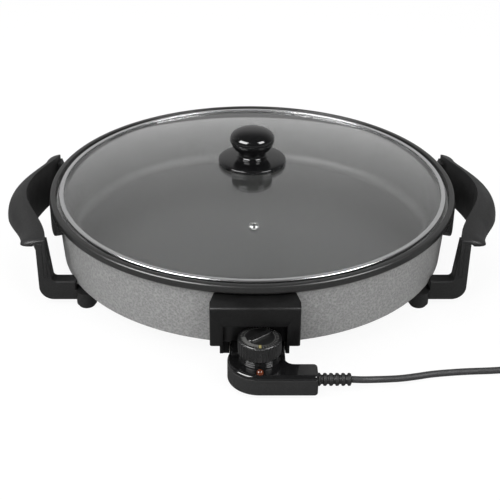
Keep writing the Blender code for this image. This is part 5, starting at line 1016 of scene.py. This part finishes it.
def printed_dial():
    """Black dial with its print: ticks where the turn's share of a division is small, within two radii.

    The wedge lies between 180 and 270 degrees at radius 12.5 to 16 mm, and the pale mark stands in front.
    """
    made = finish("dial_print", (0.008, 0.008, 0.0082), (0.013, 0.013, 0.0132), 500.0, (0.26, 0.36), 0.00002)
    nodes, links = made.node_tree.nodes, made.node_tree.links
    shader = nodes["Principled BSDF"]
    plain = shader.inputs["Base Color"].links[0].from_socket
    centred = nodes.new("ShaderNodeMapping")
    centred.inputs["Location"].default_value = (-HEAD_X, HEAD_Y - float(PAN_AXIS[1]), 0.0)
    links.new(nodes["Texture Coordinate"].outputs["Object"], centred.inputs["Vector"])
    apart = nodes.new("ShaderNodeSeparateXYZ")
    links.new(centred.outputs["Vector"], apart.inputs["Vector"])

    def sum_of(kind, *values):
        step = nodes.new("ShaderNodeMath")
        step.operation = kind
        for place, value in enumerate(values):
            if isinstance(value, (int, float)):
                step.inputs[place].default_value = value
            else:
                links.new(value, step.inputs[place])
        return step.outputs[0]

    x, y, z = (apart.outputs[name] for name in "XYZ")
    radius = sum_of("SQRT", sum_of("ADD", sum_of("MULTIPLY", x, x), sum_of("MULTIPLY", y, y)))
    turn = sum_of("DIVIDE", sum_of("ARCTAN2", y, x), 2 * math.pi)
    on_top = sum_of("GREATER_THAN", z, FACE_TOP - 0.0003)

    def band(value, start, end):
        return sum_of("MULTIPLY", sum_of("GREATER_THAN", value, start), sum_of("LESS_THAN", value, end))

    tick = sum_of("LESS_THAN", sum_of("FRACT", sum_of("MULTIPLY", turn, 40.0)), 0.30)
    ticks = sum_of("MULTIPLY", tick, band(radius, 0.0150, 0.0172))
    line = band(radius, 0.0137, 0.0142)
    wedge = sum_of("MULTIPLY", band(radius, 0.0123, 0.0160), band(turn, -0.5, -0.27))
    shade = sum_of("MULTIPLY", sum_of("MAXIMUM", sum_of("MAXIMUM", ticks, line), wedge), on_top)
    mark = sum_of("MULTIPLY", band(x, -0.0011, 0.0011), band(y, -0.0174, -0.0128))
    mark = sum_of("MULTIPLY", mark, on_top)
    colour = plain
    for print_share, ink in ((shade, (0.13, 0.13, 0.126, 1.0)), (mark, (0.34, 0.29, 0.12, 1.0))):
        mix = nodes.new("ShaderNodeMix")
        mix.data_type = "RGBA"
        links.new(print_share, mix.inputs["Factor"])
        links.new(colour, mix.inputs["A"])
        mix.inputs["B"].default_value = ink
        colour = mix.outputs["Result"]
    links.new(colour, shader.inputs["Base Color"])
    return made


DIAL = printed_dial()
dial_shells = [moved(ribbed_dial(), HEAD_X, -HEAD_Y), moved(grip_bar(), HEAD_X, -HEAD_Y)]
dress(set_down("heat_dial", dial_shells, 40.0), "dial", "matte_black", DIAL, "dial")
refinish(ZINC, "dial_spindle")

# Strain relief, plug and tie
# Ribbed rubber strain relief in the arm's end; round two-pin plug with its tapered relief, by the wound cord.
# A flat rubber tie holds the turns.
RELIEF_END, COLLAR = 0.0861 - GAP, ARM_END + GAP
rib = (RELIEF_END - COLLAR) / 5.5
relief_profile = [(0.0, RELIEF_END), (0.0034, RELIEF_END)]
for number in range(5):
    start = RELIEF_END - rib * number
    relief_profile += [(0.0058, start - rib * 0.2), (0.0058, start - rib * 0.62), (0.0042, start - rib * 0.72),
                       (0.0042, start - rib * 0.98)]
relief_profile += [(0.0060, COLLAR + rib * 0.25), (0.0060, COLLAR), (0.0044, COLLAR), (0.0044, 0.0534),
                   (0.0060, 0.0534), (0.0060, 0.0518), (0.0, 0.0518)]
relief = crosswise(turned(eased(relief_profile, 0.0006), 40), relief_y, 0.0143)
RELIEF_RUBBER = finish("relief_rubber", (0.012, 0.012, 0.012), (0.021, 0.021, 0.021), 1300.0, (0.46, 0.6),
                       0.00005, level=0.3)
strain_relief = set_down("ribbed_relief", [relief])
dress(strain_relief, "thermostat", "black_rubber", RELIEF_RUBBER, "strain_relief")

plug_x, plug_y, plug_z = plug_start
PLUG_RUBBER = finish("plug_rubber", (0.018, 0.018, 0.018), (0.028, 0.028, 0.028), 900.0, (0.44, 0.56), 0.00004,
                     level=0.35)
relief_start = plug_y + GAP
relief_end = relief_start + 0.0240
taper = [(0.0, relief_start)]
for number in range(4):
    start, size = relief_start + 0.0058 * number, 0.0043 + 0.00042 * number
    taper += [(size, start), (size, start + 0.0040), (size - 0.0010, start + 0.0044),
              (size - 0.0010, start + 0.0056)]
taper += [(0.0060, relief_end - 0.0008), (0.0060, relief_end), (0.0, relief_end)]
taper = lengthwise(turned(eased(taper, 0.0004), 40))
taper_relief = set_down("plug_taper", [moved(taper, plug_x, 0.0, plug_z)])
dress(taper_relief, "thermostat", "black_rubber", PLUG_RUBBER, "plug_strain_relief")
plug_back = relief_end + GAP
plug_front = plug_back + 0.0340
plug_profile = np.vstack((
    [(0.0, plug_back)],
    eased([(0.0075, plug_back), (0.0094, plug_back), (0.0125, plug_back + 0.0075), (0.0187, plug_front - 0.0185),
           (0.0187, plug_front), (0.0150, plug_front)], (0, 0.0010, 0.004, 0.0022, 0.0009, 0)),
    [(0.0, plug_front)],
))
plug_body = lengthwise(turned(plug_profile, 96))
holes = [("DIFFERENCE", level_rod(plug_front - 0.0083, plug_front + 0.004, 0.0027, side * 0.0095, 0.0))
         for side in (-1, 1)]
plug = carved("round_plug", moved(plug_body, plug_x, 0.0, plug_z),
              [(kind, moved(tool, plug_x, 0.0, plug_z)) for kind, tool in holes])
dress(plug, "thermostat", "matte_black", PLUG_RUBBER, "mains_plug")
for hand, side in (("left", -1), ("right", 1)):
    start, end = plug_front - 0.0080, plug_front + 0.0190
    prong = turned(eased([(0.0, start), (0.0024, start), (0.0024, end), (0.0, end)], (0, 0, 0.0018, 0)), 32)
    prong = set_down(f"prong_{hand}", [moved(lengthwise(prong), plug_x + side * 0.0095, 0.0, plug_z)])
    dress(prong, "thermostat", "stainless_steel", PIN_STEEL, f"plug_pin_{hand}")

tie_near, tie_far = COIL_RADIUS - 2 * COIL_PITCH - 0.0037, COIL_RADIUS + 0.0037
tie_roof = COIL_LOW + COIL_LIFT + 0.0037
tie_outer = eased([(-tie_far - 0.001, 0.0), (-tie_near + 0.001, 0.0), (-tie_near + 0.001, tie_roof + 0.001),
                   (-tie_far - 0.001, tie_roof + 0.001)], 0.0022, True)
tie_inner = eased([(-tie_far, 0.001), (-tie_near, 0.001), (-tie_near, tie_roof), (-tie_far, tie_roof)], 0.0014,
                  True)
strap = np.stack([np.stack((loop[:, 0], np.full(len(loop), y), loop[:, 1]), 1)
                  for loop, y in ((tie_outer, -0.0030), (tie_outer, 0.0030), (tie_inner, 0.0030),
                                  (tie_inner, -0.0030))])
strap = (strap.reshape(-1, 3), [quads(4, len(tie_outer), True)])
tie = set_down("cord_strap", [moved(strap, *COIL_CENTRE)])
dress(tie, "thermostat", "matte_black", RUBBER, "cord_tie")

# Table, lamps and world
# Plain white table under soft studio light: two softboxes in front that shine on gloss, and three wide fills.
# The camera, glass and metal see the pale backdrop; the table keeps a light shadow.
stage_white = bpy.data.materials.new("stage_white")
stage_white.use_nodes = True
nodes, links = stage_white.node_tree.nodes, stage_white.node_tree.links
nodes["Principled BSDF"].inputs["Base Color"].default_value = (0.82, 0.82, 0.82, 1.0)
nodes["Principled BSDF"].inputs["Roughness"].default_value = 0.9
nodes["Principled BSDF"].inputs["Specular IOR Level"].default_value = 0.1
glow = nodes.new("ShaderNodeEmission")
glow.inputs["Strength"].default_value = 1.0
rays = nodes.new("ShaderNodeLightPath")
seen = nodes.new("ShaderNodeMath")
seen.operation = "MAXIMUM"
links.new(rays.outputs["Is Camera Ray"], seen.inputs[0])
links.new(rays.outputs["Is Transmission Ray"], seen.inputs[1])
either = nodes.new("ShaderNodeMath")
either.operation = "MAXIMUM"
links.new(seen.outputs[0], either.inputs[0])
links.new(rays.outputs["Is Glossy Ray"], either.inputs[1])
share = nodes.new("ShaderNodeMath")
share.operation = "MULTIPLY"
share.inputs[1].default_value = 0.88
links.new(either.outputs[0], share.inputs[0])
dimmed = nodes.new("ShaderNodeMapRange")
dimmed.inputs["To Min"].default_value = 1.04
dimmed.inputs["To Max"].default_value = 0.22
links.new(rays.outputs["Is Glossy Ray"], dimmed.inputs["Value"])
links.new(dimmed.outputs["Result"], glow.inputs["Strength"])
mixed = nodes.new("ShaderNodeMixShader")
links.new(share.outputs[0], mixed.inputs["Fac"])
links.new(nodes["Principled BSDF"].outputs["BSDF"], mixed.inputs[1])
links.new(glow.outputs["Emission"], mixed.inputs[2])
links.new(mixed.outputs["Shader"], nodes["Material Output"].inputs["Surface"])
table_mesh = bpy.data.meshes.new("table")
table_mesh.from_pydata([(-6, -6, 0), (6, -6, 0), (6, 6, 0), (-6, 6, 0)], [], [(0, 1, 2, 3)])
table_mesh.materials.append(stage_white)
table = bpy.data.objects.new("table", table_mesh)
scene.collection.objects.link(table)

world = bpy.data.worlds.new("studio")
scene.world = world
world.use_nodes = True
nodes, links = world.node_tree.nodes, world.node_tree.links
background = nodes["Background"]
background.inputs["Color"].default_value = (1.0, 1.0, 1.0, 1.0)
rays = nodes.new("ShaderNodeLightPath")
way = nodes.new("ShaderNodeSeparateXYZ")
links.new(nodes.new("ShaderNodeTexCoord").outputs["Generated"], way.inputs["Vector"])
behind = graded(nodes, links, way.outputs["Y"], 0.0, 1.0, 0.0, 0.75)
low_down = graded(nodes, links, way.outputs["Z"], 1.0, 0.10, 0.45, 0.85)
backdrop = nodes.new("ShaderNodeMath")
backdrop.operation = "MULTIPLY"
links.new(behind, backdrop.inputs[0])
links.new(low_down, backdrop.inputs[1])
mirrored = nodes.new("ShaderNodeMath")
mirrored.operation = "MULTIPLY_ADD"
mirrored.inputs[1].default_value = 0.46
mirrored.inputs[2].default_value = 0.08
links.new(backdrop.outputs[0], mirrored.inputs[0])
shine = nodes.new("ShaderNodeMix")
shine.inputs["A"].default_value = 0.42
links.new(rays.outputs["Is Glossy Ray"], shine.inputs["Factor"])
links.new(mirrored.outputs[0], shine.inputs["B"])
direct = nodes.new("ShaderNodeMath")
direct.operation = "MAXIMUM"
links.new(rays.outputs["Is Camera Ray"], direct.inputs[0])
links.new(rays.outputs["Is Transmission Ray"], direct.inputs[1])
strength = nodes.new("ShaderNodeMix")
strength.inputs["B"].default_value = 1.0
links.new(direct.outputs[0], strength.inputs["Factor"])
links.new(shine.outputs["Result"], strength.inputs["A"])
links.new(strength.outputs["Result"], background.inputs["Strength"])


def softbox(name, azimuth, elevation, distance, width, height, power, mirrored=True, lights=True):
    """Softbox round the pan: azimuth in degrees from the front, to the right; it faces the pan."""
    made = bpy.data.lights.new(name, "AREA")
    made.shape = "RECTANGLE"
    made.size, made.size_y, made.energy = width, height, power
    lamp = bpy.data.objects.new(name, made)
    turn, rise = math.radians(azimuth), math.radians(elevation)
    flat = distance * math.cos(rise)
    lamp.location = (flat * math.sin(turn), -flat * math.cos(turn), 0.08 + distance * math.sin(rise))
    lamp.rotation_euler = (math.radians(90.0 - elevation), 0.0, turn)
    lamp.visible_glossy = mirrored
    lamp.visible_transmission = False
    lamp.visible_diffuse = lights
    scene.collection.objects.link(lamp)


softbox("softbox_left", -54.0, 38.0, 1.6, 1.2, 0.85, 58.0, True, False)
softbox("softbox_right", 54.0, 38.0, 1.6, 0.75, 0.75, 28.0, True, False)
softbox("fill_left", -46.0, 40.0, 1.7, 1.2, 0.8, 15.0, False, True)
softbox("fill_right", 40.0, 36.0, 1.7, 1.0, 0.8, 11.0, False, True)
softbox("fill_behind", 180.0, 62.0, 1.9, 1.6, 0.9, 10.0, False, True)
